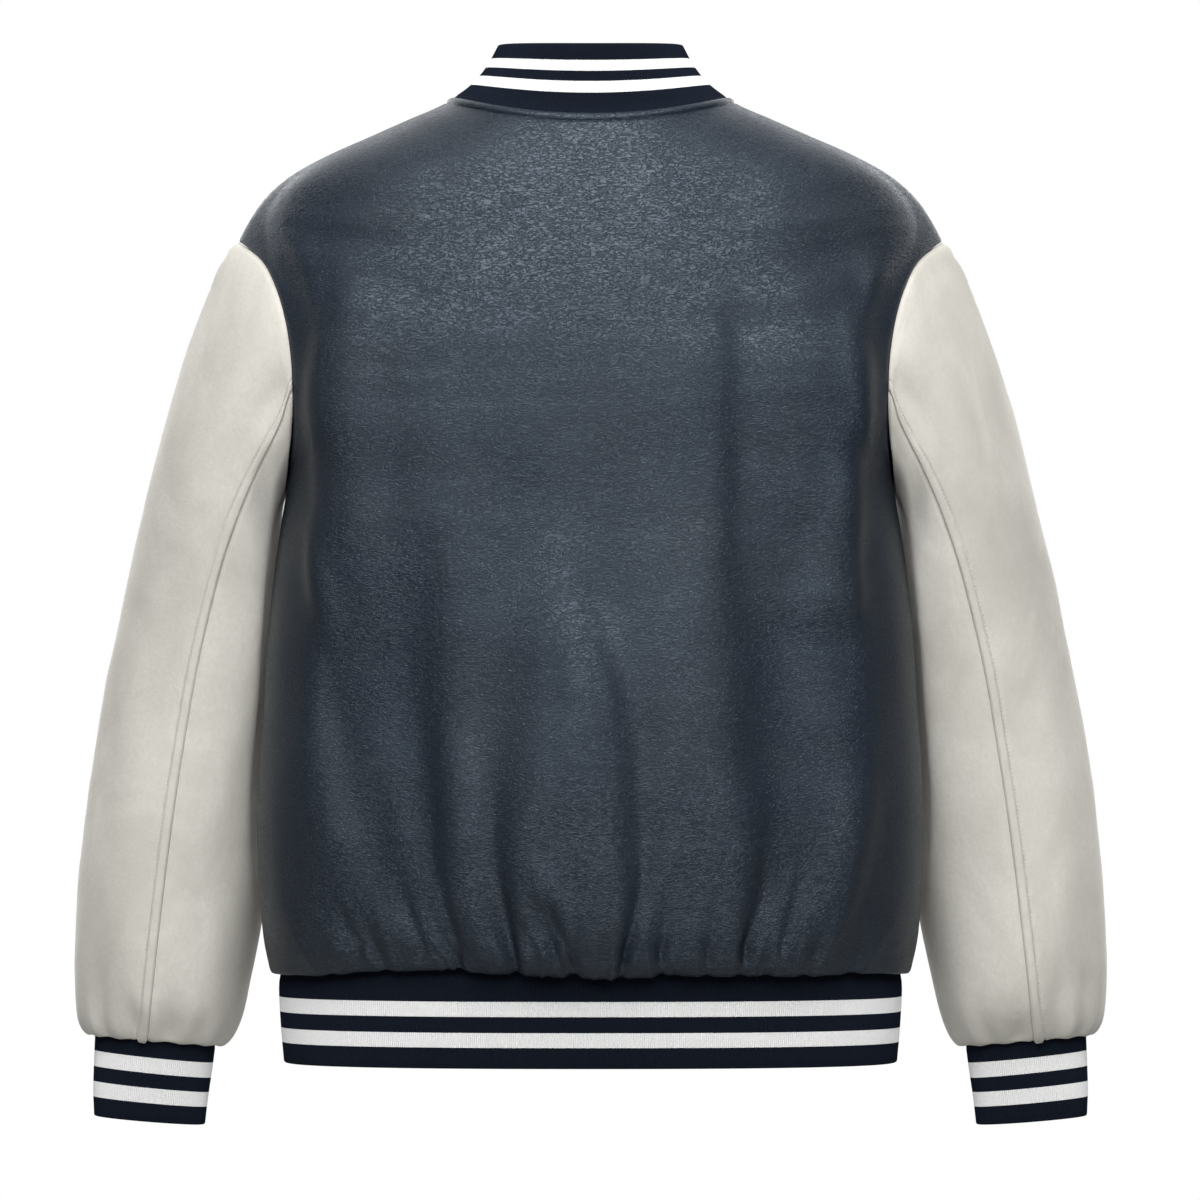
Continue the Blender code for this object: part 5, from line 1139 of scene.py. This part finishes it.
# ---------------------------------------------------------------- materials
class Paint:
    """Small helper for procedural materials."""

    def __init__(self, name, rough, spec=0.5):
        self.mat = bpy.data.materials.new(name)
        self.mat.use_nodes = True
        self.tree = self.mat.node_tree
        self.shader = self.tree.nodes["Principled BSDF"]
        self.set("Roughness", rough)
        self.set("Specular IOR Level", spec)
        self.where = self.tree.nodes.new("ShaderNodeTexCoord").outputs["Object"]

    def set(self, socket, value):
        self.shader.inputs[socket].default_value = value

    def link(self, a, b):
        self.tree.links.new(a, b)

    def scaled(self, x, y, z):
        m = self.tree.nodes.new("ShaderNodeMapping")
        m.inputs["Scale"].default_value = (x, y, z)
        self.link(self.where, m.inputs["Vector"])
        return m.outputs["Vector"]

    def noise(self, vector, scale=1.0, detail=2.0, rough=0.5, distort=0.0):
        n = self.tree.nodes.new("ShaderNodeTexNoise")
        n.inputs["Scale"].default_value = scale
        n.inputs["Detail"].default_value = detail
        n.inputs["Roughness"].default_value = rough
        n.inputs["Distortion"].default_value = distort
        self.link(vector, n.inputs["Vector"])
        return n.outputs["Fac"]

    def cells(self, vector, scale=1.0, feature="DISTANCE_TO_EDGE", smooth=0.0):
        n = self.tree.nodes.new("ShaderNodeTexVoronoi")
        n.feature = feature
        n.inputs["Scale"].default_value = scale
        if "Smoothness" in n.inputs:
            n.inputs["Smoothness"].default_value = smooth
        self.link(vector, n.inputs["Vector"])
        return n.outputs["Distance"]

    def maths(self, op, a, b=None, clamp=False):
        n = self.tree.nodes.new("ShaderNodeMath")
        n.operation = op
        n.use_clamp = clamp
        for i, v in enumerate((a, b)):
            if v is None:
                continue
            if isinstance(v, (int, float)):
                n.inputs[i].default_value = v
            else:
                self.link(v, n.inputs[i])
        return n.outputs[0]

    def span(self, value, lo, hi, to_lo=0.0, to_hi=1.0):
        n = self.tree.nodes.new("ShaderNodeMapRange")
        n.inputs["From Min"].default_value = lo
        n.inputs["From Max"].default_value = hi
        n.inputs["To Min"].default_value = to_lo
        n.inputs["To Max"].default_value = to_hi
        self.link(value, n.inputs["Value"])
        return n.outputs["Result"]

    def blend(self, fac, a, b):
        n = self.tree.nodes.new("ShaderNodeMix")
        n.data_type = "RGBA"
        if isinstance(fac, (int, float)):
            n.inputs["Factor"].default_value = fac
        else:
            self.link(fac, n.inputs["Factor"])
        for key, v in (("A", a), ("B", b)):
            socket = [s for s in n.inputs if s.name == key and s.type == "RGBA"][0]
            if isinstance(v, tuple):
                socket.default_value = (*v, 1.0)
            else:
                self.link(v, socket)
        return [s for s in n.outputs if s.type == "RGBA"][0]

    def bump(self, height, distance, strength=1.0, before=None):
        n = self.tree.nodes.new("ShaderNodeBump")
        n.inputs["Distance"].default_value = distance
        n.inputs["Strength"].default_value = strength
        self.link(height, n.inputs["Height"])
        if before is not None:
            self.link(before, n.inputs["Normal"])
        return n.outputs["Normal"]

    def colour(self, c):
        self.link(c, self.shader.inputs["Base Color"])

    def normal(self, n):
        self.link(n, self.shader.inputs["Normal"])


def leather(name):
    p = Paint(name, 0.40, 0.54)
    p.set("Specular Tint", (0.73, 0.86, 1.0, 1.0))
    # crinkle: short level wrinkles, broken up and uneven in strength
    lines = p.noise(p.scaled(130, 130, 430), 1.0, 2.0, 0.55, 0.55)
    lines = p.span(p.maths("ABSOLUTE", p.maths("SUBTRACT", lines, 0.5)), 0.0, 0.040)
    fine = p.noise(p.scaled(230, 230, 640), 1.0, 2.0, 0.5, 0.4)
    fine = p.span(p.maths("ABSOLUTE", p.maths("SUBTRACT", fine, 0.5)), 0.0, 0.065)
    patch = p.span(p.noise(p.scaled(22, 22, 36), 1.0, 2.0, 0.5), 0.34, 0.66, 0.88, 1.0)
    grain = p.maths("ADD", p.maths("MULTIPLY", lines, 0.30), p.maths("MULTIPLY", fine, 0.70))
    deep = p.maths("MULTIPLY", p.maths("SUBTRACT", 1.0, grain, clamp=True), patch)
    # a few longer wrinkles among them
    long_lines = p.noise(p.scaled(40, 40, 190), 1.0, 2.0, 0.5, 0.8)
    long_lines = p.span(p.maths("ABSOLUTE", p.maths("SUBTRACT", long_lines, 0.5)), 0.0, 0.012, 1.0, 0.0)
    where_long = p.span(p.noise(p.scaled(19, 19, 30), 1.0, 1.0, 0.5), 0.48, 0.62)
    long_lines = p.maths("MULTIPLY", long_lines, where_long)
    deep = p.maths("MAXIMUM", deep, p.maths("MULTIPLY", long_lines, 0.5))
    pores = p.noise(p.scaled(760, 760, 980), 1.0, 2.0, 0.5)
    height = p.maths("SUBTRACT", p.maths("MULTIPLY", pores, 0.30), deep)
    p.normal(p.bump(height, 0.00034, 1.0))
    tone = p.span(p.noise(p.scaled(9, 9, 7), 1.0, 3.0, 0.6), 0.35, 0.65)
    base = p.blend(tone, (0.0090, 0.0125, 0.0185), (0.0060, 0.0105, 0.0190))
    # the base colour goes darker along the wrinkle lines (deep): painted shade in the crinkles
    p.colour(p.blend(p.maths("MULTIPLY", deep, 0.6), base, (0.003, 0.005, 0.009)))
    rough = p.span(p.noise(p.scaled(45, 45, 60), 1.0, 2.0), 0.3, 0.7, 0.345, 0.385)
    rough = p.maths("ADD", rough, p.maths("MULTIPLY", deep, 0.16))
    p.link(rough, p.shader.inputs["Roughness"])
    return p.mat


def suede(name):
    p = Paint(name, 0.96, 0.18)
    cloud = p.span(p.noise(p.scaled(16, 16, 11), 1.0, 3.0, 0.62, 0.6), 0.30, 0.70)
    nap = p.span(p.noise(p.scaled(330, 330, 230), 1.0, 3.0, 0.6), 0.30, 0.70)
    speck = p.span(p.noise(p.scaled(1300, 1300, 900), 1.0, 1.0, 0.5), 0.25, 0.75)
    base = p.blend(cloud, (0.440, 0.426, 0.383), (0.585, 0.568, 0.522))
    base = p.blend(p.maths("MULTIPLY", nap, 0.42), base, (0.440, 0.420, 0.375))
    p.colour(p.blend(p.maths("MULTIPLY", speck, 0.16), base, (0.740, 0.720, 0.670)))
    height = p.maths("ADD", p.maths("MULTIPLY", nap, 0.6), p.maths("MULTIPLY", speck, 0.4))
    p.normal(p.bump(height, 0.00022, 0.8))
    p.set("Sheen Weight", 0.40)
    p.set("Sheen Roughness", 0.45)
    p.set("Sheen Tint", (0.95, 0.93, 0.88, 1.0))
    return p.mat


def knit(name, dark, light, sheen):
    p = Paint(name, 0.92, 0.12)
    loops = p.noise(p.scaled(700, 700, 1500), 1.0, 2.0, 0.55)
    loops = p.span(loops, 0.25, 0.75)
    fuzz = p.span(p.noise(p.scaled(2600, 2600, 2600), 1.0, 1.0), 0.3, 0.7)
    p.colour(p.blend(loops, dark, light))
    height = p.maths("ADD", p.maths("MULTIPLY", loops, 0.7), p.maths("MULTIPLY", fuzz, 0.3))
    p.normal(p.bump(height, 0.00018, 0.7))
    p.set("Sheen Weight", sheen)
    p.set("Sheen Roughness", 0.5)
    return p.mat


def backing(name, a, b):
    """The cloth's plain inner face."""
    p = Paint(name, 0.95, 0.15)
    weave = p.span(p.noise(p.scaled(900, 900, 900), 1.0, 2.0), 0.3, 0.7)
    p.colour(p.blend(weave, a, b))
    p.normal(p.bump(weave, 0.00012, 0.5))
    return p.mat


def thread(name, a, b):
    p = Paint(name, 0.75, 0.3)
    ply = p.span(p.noise(p.scaled(2200, 2200, 2200), 1.0, 2.0), 0.3, 0.7)
    p.colour(p.blend(ply, a, b))
    p.normal(p.bump(ply, 0.00008, 0.6))
    return p.mat


def gunmetal(name):
    p = Paint(name, 0.32, 0.5)
    p.set("Metallic", 1.0)
    brush = p.noise(p.scaled(500, 500, 2600), 1.0, 2.0, 0.6)
    p.colour(p.blend(p.span(brush, 0.3, 0.7), (0.30, 0.30, 0.31), (0.46, 0.46, 0.47)))
    p.link(p.span(brush, 0.3, 0.7, 0.26, 0.40), p.shader.inputs["Roughness"])
    p.normal(p.bump(brush, 0.00003, 0.4))
    return p.mat


LEATHER = leather("leather_navy_grey")
LEATHER_IN = backing("leather_backing", (0.020, 0.024, 0.032), (0.034, 0.040, 0.050))
SUEDE = suede("suede_light_grey")
SUEDE_IN = backing("suede_backing", (0.36, 0.35, 0.32), (0.46, 0.45, 0.41))
RIB_NAVY = knit("rib_navy", (0.0030, 0.0052, 0.0110), (0.0060, 0.0095, 0.0180), 0.0)
RIB_WHITE = knit("rib_white", (0.62, 0.62, 0.62), (0.78, 0.78, 0.775), 0.0)
THREAD_LIGHT = thread("thread_light", (0.50, 0.48, 0.43), (0.64, 0.62, 0.57))
THREAD_DARK = thread("thread_dark", (0.014, 0.018, 0.026), (0.030, 0.036, 0.048))
METAL = gunmetal("snap_gunmetal")

# ---------------------------------------------------------------- pieces
made = {}


def place(obj, node):
    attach(obj, "root")
    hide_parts(node)
    made[node] = obj


place(
    shell("back_cloth", back_outer, back_inner, [LEATHER, LEATHER_IN], 5, GATHER_ROWS),
    "back",
)
for name in ("left", "right"):
    outer, inner = front_data[name][:2]
    place(
        shell("front_cloth_" + name, outer, inner, [LEATHER, LEATHER_IN], 5, GATHER_ROWS),
        "front_" + name,
    )
    for piece in ("upper", "under"):
        d = sleeves[name][piece]
        place(
            shell(f"sleeve_{piece}_cloth_{name}", d["outer"], d["inner"], [SUEDE, SUEDE_IN]),
            f"sleeve_{piece}_{name}",
        )

# hem band and collar
hem_cols = 4 * 2 * int(round(1.13 / RIB_PITCH / 2)) + 1
rings, wall, down, shares, stripes = body_rib("hem_band", HEM_BAND, hem_cols - 1, 13, SEAM, None)
hem_rings = rings
place(
    rib_mesh("hem_band_knit", rings, wall, down, shares, stripes, RIB_WALL, False, [RIB_NAVY, RIB_WHITE]),
    "hem_band",
)
collar_cols = 4 * 2 * int(round(0.50 / RIB_PITCH / 2)) + 1
rings, wall, down, shares, stripes = body_rib("collar", COLLAR, collar_cols - 1, 14, COLLAR_GAP, None)
place(
    rib_mesh("collar_knit", rings, wall, down, shares, stripes, RIB_WALL, False, [RIB_NAVY, RIB_WHITE]),
    "collar",
)

# cuffs
for name, side in (("left", 1), ("right", -1)):
    stripes = STRIPES["cuff"]
    shares = stripe_rows(stripes, 14)
    v = track(CUFF, shares * (len(CUFF) - 1))
    count = 4 * int(round(0.235 / RIB_PITCH))
    t = np.linspace(0, 360, 2000)
    rings = []
    for row in v:
        ox, oz, ix, iz, my, hy = row
        a = np.radians(t)
        p = np.stack([
            side * ((ox + ix) / 2 + (ox - ix) / 2 * np.cos(a)),
            my + hy * np.sin(a),
            (oz + iz) / 2 + (oz - iz) / 2 * np.cos(a),
        ], -1)
        d = np.concatenate([[0], np.cumsum(np.linalg.norm(np.diff(p, axis=0), axis=1))])
        s = np.linspace(0, d[-1], count, endpoint=False)
        rings.append(np.stack([np.interp(s, d, p[:, i]) for i in range(3)], -1))
    rings = np.array(rings)
    centre = rings.mean(1, keepdims=True)
    n = face_out(rings, grid_normals(rings, wrap=True), centre)
    ox, oz, ix, iz = CUFF[-1, :4]
    axis = unit(centre[-1, 0] - centre[0, 0])
    wall = unit(-n - axis * np.sum(-n * axis, -1, keepdims=True))
    rings[0] += axis * SEAM
    down = np.tile(axis, (count, 1))
    place(
        rib_mesh("cuff_knit_" + name, rings, wall, down, shares, stripes, RIB_WALL, True, [RIB_NAVY, RIB_WHITE]),
        "cuff_" + name,
    )


# ---------------------------------------------------------------- placket
def front_strip():
    """The placket's underside at the solid's own rows, neck to hem edge."""
    rows = np.arange(NECK, 1, -1).astype(float)
    v = BODY
    strip = []
    t = np.linspace(0, 1, 400)
    for k in range(NECK, 1, -1):
        g = body_surface(np.array([float(k)]), t[None], True)[0]
        y_edge = np.interp(PLACKET_HALF, g[:, 0], g[:, 1])
        z_edge = np.interp(PLACKET_HALF, g[:, 0], g[:, 2])
        strip.append([(PLACKET_HALF, y_edge, z_edge), (0.0, v[k, 8], v[k, 9]), (-PLACKET_HALF, y_edge, z_edge)])
    strip = np.array(strip)
    n = grid_normals(strip)
    n = n if n[..., 1].mean() < 0 else -n
    n[..., 0] = 0.0
    strip = strip + unit(n) * LAP
    k = 1
    g = body_surface(np.array([1.0]), t[None], True)[0]
    y_edge = np.interp(PLACKET_HALF, g[:, 0], g[:, 1])
    z_edge = np.interp(PLACKET_HALF, g[:, 0], g[:, 2])
    roll = np.array([(PLACKET_HALF, y_edge, z_edge), (0.0, v[1, 8], v[1, 9]), (-PLACKET_HALF, y_edge, z_edge)])
    roll = roll + (0.0, -LAP - 0.0006, -0.0012)
    rest = []
    for k in (1, 2, 3):
        sx, sy, sz, by, bz, fy, fz, sq = HEM_BAND[k]
        g = ring_section((sx, sy, sz), (fy, fz), sy, sq, t)
        y_edge = np.interp(PLACKET_HALF, g[:, 0], g[:, 1])
        rest.append([(PLACKET_HALF, y_edge - LAP, sz), (0.0, fy - LAP, sz), (-PLACKET_HALF, y_edge - LAP, sz)])
    strip = np.concatenate([strip, roll[None], np.array(rest)])
    strip[0] += unit(strip[1] - strip[0]) * SEAM * 1.5
    return strip


strip = front_strip()
n_strip = grid_normals(strip)
n_strip = n_strip if n_strip[..., 1].mean() < 0 else -n_strip
n_strip[..., 0] = 0.0
n_strip = unit(n_strip)
outer_strip = strip + n_strip * PLACKET_WALL
strip_run = np.concatenate([[0], np.cumsum(np.linalg.norm(np.diff(outer_strip[:, 1], axis=0), axis=1))])
fine_run = np.linspace(0, strip_run[-1], int(strip_run[-1] / 0.0022))
fine_row = np.interp(fine_run, strip_run, np.arange(len(strip_run)))
share = np.array([-1.0, -0.985, -0.95, -0.90, -0.86, -0.82, -0.78, -0.72, -0.6, -0.4, -0.2, 0.0, 0.2, 0.4, 0.6, 0.72, 0.78, 0.82, 0.86, 0.90, 0.95, 0.985, 1.0])


def across_strip(grid, share):
    flat = grid.reshape(len(grid), -1)
    g = track(flat, fine_row).reshape(len(fine_row), 3, 3)
    left, mid, right = g[:, 0], g[:, 1], g[:, 2]
    u = share[None, :, None]
    return (
        mid[:, None] * (1 - u**2)
        + (left[:, None] - right[:, None]) / 2 * u
        + (left[:, None] + right[:, None]) / 2 * u**2
    )


p_outer = across_strip(outer_strip, share)
p_inner = across_strip(strip + n_strip * 0.0002, share)
pn = grid_normals(p_outer)
pn = pn if pn[..., 1].mean() < 0 else -pn
d_edge = (1 - np.abs(share)) * PLACKET_HALF
groove = -0.00045 * np.exp(-(((d_edge - 0.0028) / 0.0009) ** 2)) - 0.0012 * (1 - np.sqrt(np.clip(1 - (1 - np.clip(d_edge / 0.0014, 0, 1)) ** 2, 0, 1)))
pucker = 0.00012 * np.sin(fine_run / 0.0035)[:, None] * np.exp(-(((d_edge - 0.0028) / 0.003) ** 2))[None]
wave = soft_noise(p_outer, (0.03, 0.03, 0.02), 61) * 0.0003 * ease(d_edge / 0.004)[None]
p_outer = p_outer + pn * (groove[None] + pucker + wave)[..., None]
place(shell("placket_strip", p_outer, p_inner, [LEATHER, LEATHER_IN], step=2), "placket")


# ---------------------------------------------------------------- snaps
def spun(profile, sides, base, across, down, n):
    """Closed turned body: profile of (radius, height) from the base centre."""
    points = [base + n * profile[0][1]]
    for radius, height in profile[1:-1]:
        for j in range(sides):
            a = 2 * math.pi * j / sides
            points.append(base + across * radius * math.cos(a) + down * radius * math.sin(a) + n * height)
    points.append(base + n * profile[-1][1])
    faces = []
    loops = len(profile) - 2
    for j in range(sides):
        k = (j + 1) % sides
        faces.append((0, 1 + k, 1 + j))
        for r in range(loops - 1):
            a, b = 1 + r * sides, 1 + (r + 1) * sides
            faces.append((a + j, a + k, b + k, b + j))
        top = 1 + (loops - 1) * sides
        faces.append((top + j, top + k, len(points) - 1))
    return np.array(points), faces


SNAP_RADIUS, SNAP_HEIGHT, SNAP_COUNT = 0.0075, 0.0032, 7
SNAP_PROFILE = [
    (0.0, 0.0), (0.0066, 0.0), (0.0073, 0.0003), (0.0075, 0.0008), (0.0074, 0.0013), (0.0070, 0.0017),
    (0.0066, 0.0018), (0.0063, 0.0016), (0.0060, 0.0017), (0.0052, 0.0023), (0.0040, 0.0028),
    (0.0026, 0.0031), (0.0012, 0.0032), (0.0, 0.0032),
]
outer_mid = outer_strip[:, 1]
first, last = 0.026, strip_run[-1] - 0.030
for i in range(SNAP_COUNT):
    want = first + (last - first) * i / (SNAP_COUNT - 1)
    k = int(np.searchsorted(strip_run, want)) - 1
    a, b = outer_mid[k], outer_mid[k + 1]
    room = strip_run[k + 1] - strip_run[k]
    t = (want - strip_run[k]) / room
    t = min(max(t, (SNAP_RADIUS + 0.002) / room), 1 - (SNAP_RADIUS + 0.002) / room) if room > 0.02 else 0.5
    base = a + (b - a) * t
    dn = unit(b - a)
    n = unit(np.cross(dn, (1.0, 0.0, 0.0)))
    n = -n if n[1] > 0 else n
    pts, faces = spun(SNAP_PROFILE, 40, base + n * LAP, np.array([1.0, 0.0, 0.0]), dn, n)
    place(put_mesh(f"snap_cap_{i + 1}", pts, faces, [METAL], sharp=60.0), f"snap_{i + 1}")


# ---------------------------------------------------------------- stitching
def stitches(name, path, normals, mat, radius=0.00028, proud=0.00010, pitch=STITCH):
    """A run of stitches along a path: short threads that dip at both ends."""
    d = np.concatenate([[0], np.cumsum(np.linalg.norm(np.diff(path, axis=0), axis=1))])
    count = int(d[-1] / pitch)
    points, faces = [], []
    sides = 5
    for i in range(count):
        s = (i + 0.09 + np.array([0.0, 0.18, 0.5, 0.82, 1.0]) * 0.82) * pitch
        p = np.stack([np.interp(s, d, path[:, k]) for k in range(3)], -1)
        n = unit(np.stack([np.interp(s, d, normals[:, k]) for k in range(3)], -1))
        along = unit(np.gradient(p, axis=0))
        side = unit(np.cross(along, n))
        height = np.array([-1.6, 0.1, 0.55, 0.1, -1.6]) * radius + proud
        thick = np.array([0.55, 1.0, 1.0, 1.0, 0.55]) * radius
        start = len(points)
        for q in range(5):
            c = p[q] + n[q] * height[q]
            for j in range(sides):
                a = 2 * math.pi * j / sides
                points.append(c + side[q] * thick[q] * math.cos(a) + n[q] * thick[q] * math.sin(a))
        for q in range(4):
            for j in range(sides):
                k = (j + 1) % sides
                faces.append((start + q * sides + j, start + q * sides + k, start + (q + 1) * sides + k, start + (q + 1) * sides + j))
        faces.append(tuple(start + j for j in range(sides))[::-1])
        faces.append(tuple(start + 4 * sides + j for j in range(sides)))
    return put_mesh(name, np.array(points), faces, [mat])


def along_column(grid, normals, distance, want):
    """Path at a set distance from a piece's edge, row by row."""
    path, ns = [], []
    for r in range(len(grid)):
        path.append([np.interp(want, distance[r], grid[r, :, k]) for k in range(3)])
        ns.append([np.interp(want, distance[r], normals[r, :, k]) for k in range(3)])
    return np.array(path), unit(np.array(ns))


for name in ("left", "right"):
    d = sleeves[name]["upper"]
    for which, label in (("d_first", "back"), ("d_last", "front")):
        dist = d[which]
        if which == "d_last":
            path, ns = along_column(d["outer"][:, ::-1], d["n"][:, ::-1], dist[:, ::-1], SLEEVE_BAND)
        else:
            path, ns = along_column(d["outer"], d["n"], dist, SLEEVE_BAND)
        keep = slice(2, len(path) - 6)
        obj = stitches(f"sleeve_topstitch_{label}_{name}", path[keep], ns[keep], THREAD_LIGHT)
        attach(obj, "root")

for i, u in (("left", 1), ("right", -1)):
    at = u * (1 - 0.0028 / PLACKET_HALF)
    col = int(np.abs(share - at).argmin())
    path = np.stack([np.array([np.interp(at, share, p_outer[r, :, k]) for k in range(3)]) for r in range(len(p_outer))])
    ns = pn[:, col]
    obj = stitches(f"placket_topstitch_{i}", path[2:-2], ns[2:-2], THREAD_DARK, radius=0.00030)
    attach(obj, "root")

# ---------------------------------------------------------------- cut sizes
def area_of(obj):
    m = obj.data
    a = np.zeros(len(m.polygons))
    m.polygons.foreach_get("area", a)
    return float(a.sum() / 2)


CUT = {
    # node: (width, length), flat area, what it hangs from
    "back": ((0.560, 0.690), 0.310, ()),
    "front_left": ((0.290, 0.640), 0.150, ()),
    "front_right": ((0.290, 0.640), 0.150, ()),
    "placket": ((0.033, 0.610), 0.0200, ("front_cloth_left", "front_cloth_right")),
    "sleeve_upper_left": ((0.250, 0.600), 0.118, ("back_cloth", "front_cloth_left")),
    "sleeve_upper_right": ((0.250, 0.600), 0.118, ("back_cloth", "front_cloth_right")),
    "sleeve_under_left": ((0.190, 0.480), 0.070, ("back_cloth", "front_cloth_left")),
    "sleeve_under_right": ((0.190, 0.480), 0.070, ("back_cloth", "front_cloth_right")),
    "collar": ((0.500, 0.052), 0.0240, ("back_cloth", "front_cloth_left", "front_cloth_right")),
    "hem_band": ((1.130, 0.068), 0.0750, ("back_cloth", "front_cloth_left", "front_cloth_right")),
    "cuff_left": ((0.200, 0.060), 0.0118, ("sleeve_upper_cloth_left", "sleeve_under_cloth_left")),
    "cuff_right": ((0.200, 0.060), 0.0118, ("sleeve_upper_cloth_right", "sleeve_under_cloth_right")),
}
for node, (flat, area, rests) in CUT.items():
    print("CUT", node, round(area_of(made[node]), 4), "stated", area)

# ---------------------------------------------------------------- studio
floor_mesh = bpy.data.meshes.new("studio_floor")
R = 5.0
floor_mesh.from_pydata([(-R, -R, BACKDROP_FLOOR), (R, -R, BACKDROP_FLOOR), (R, R, BACKDROP_FLOOR), (-R, R, BACKDROP_FLOOR)], [], [(0, 1, 2, 3)])
floor = bpy.data.objects.new("studio_floor", floor_mesh)
bpy.context.scene.collection.objects.link(floor)
paint = Paint("studio_floor_pale", 0.9, 0.1)
paint.set("Base Color", (0.30, 0.30, 0.30, 1.0))
glow = paint.tree.nodes.new("ShaderNodeEmission")
glow.inputs["Color"].default_value = (1.0, 1.0, 1.0, 1.0)
glow.inputs["Strength"].default_value = 0.93
seen_by = paint.tree.nodes.new("ShaderNodeLightPath")
either = paint.tree.nodes.new("ShaderNodeMixShader")
paint.link(seen_by.outputs["Is Camera Ray"], either.inputs[0])
paint.link(paint.shader.outputs[0], either.inputs[1])
paint.link(glow.outputs[0], either.inputs[2])
paint.link(either.outputs[0], paint.tree.nodes["Material Output"].inputs["Surface"])
floor_mesh.materials.append(paint.mat)

world = bpy.data.worlds.new("studio_white")
bpy.context.scene.world = world
world.use_nodes = True
wt = world.node_tree
bg = wt.nodes["Background"]
bg.inputs["Color"].default_value = (1.0, 1.0, 1.0, 1.0)
bg.inputs["Strength"].default_value = 0.05
seen = wt.nodes.new("ShaderNodeBackground")
seen.inputs["Color"].default_value = (1.0, 1.0, 1.0, 1.0)
seen.inputs["Strength"].default_value = 1.0
path_node = wt.nodes.new("ShaderNodeLightPath")
mixer = wt.nodes.new("ShaderNodeMixShader")
wt.links.new(path_node.outputs["Is Camera Ray"], mixer.inputs[0])
wt.links.new(bg.outputs[0], mixer.inputs[1])
wt.links.new(seen.outputs[0], mixer.inputs[2])
wt.links.new(mixer.outputs[0], wt.nodes["World Output"].inputs["Surface"])


def softbox(name, at, aim, width, height, power, colour=(1.0, 1.0, 1.0)):
    data = bpy.data.lights.new(name, "AREA")
    data.shape = "RECTANGLE"
    data.size, data.size_y = width, height
    data.energy = power
    data.color = colour
    obj = bpy.data.objects.new(name, data)
    obj.location = at
    from mathutils import Vector

    obj.rotation_mode = "QUATERNION"
    obj.rotation_quaternion = (Vector(aim) - Vector(at)).to_track_quat("-Z", "Y")
    obj.visible_camera = False
    bpy.context.scene.collection.objects.link(obj)
    return obj


MIDDLE = (0.0, 0.0, -0.35)
KEY_HIGH = math.radians(44.0)
KEY_FAR = 3.0
for label, way, high_at, wide, tall, power in (
    ("back", 1.0, KEY_HIGH, 3.3, 3.0, 200.0),
    ("front", -1.0, math.radians(50.0), 4.4, 3.0, 62.0),
):
    at = (0.0, way * KEY_FAR * math.cos(high_at), MIDDLE[2] + KEY_FAR * math.sin(high_at))
    softbox("key_" + label, at, MIDDLE, wide, tall, power)
FRONT_TURN = math.radians(38.0)
FRONT_HIGH = math.radians(15.0)
for label, way in (("left", 1.0), ("right", -1.0)):
    out = KEY_FAR * math.cos(FRONT_HIGH)
    at = (way * out * math.sin(FRONT_TURN), -out * math.cos(FRONT_TURN), MIDDLE[2] + KEY_FAR * math.sin(FRONT_HIGH))
    softbox("front_" + label, at, MIDDLE, 1.9, 2.0, 38.0)
    softbox("side_" + label, (way * 4.6, 0.0, 0.75), MIDDLE, 5.0, 2.6, 9.0)

camera_data = bpy.data.cameras.new("camera")
camera_data.lens = 291.7
camera_data.sensor_width = 36.0
camera_data.clip_end = 100.0
camera = bpy.data.objects.new("camera", camera_data)
camera.location = (-0.00684, 7.0, -0.3614)
camera.rotation_euler = (math.radians(90), 0.0, math.radians(180))
bpy.context.scene.collection.objects.link(camera)
bpy.context.scene.camera = camera
bpy.context.scene.view_settings.view_transform = "Standard"
bpy.context.scene.view_settings.look = "None"

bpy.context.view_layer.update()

tris = {}
for o in bpy.data.objects:
    if o.type == "MESH" and not o.hide_render:
        o.data.calc_loop_triangles()
        tris[o.name] = len(o.data.loop_triangles)
print("TRIANGLES", sum(tris.values()), sorted(tris.items(), key=lambda kv: -kv[1])[:8])
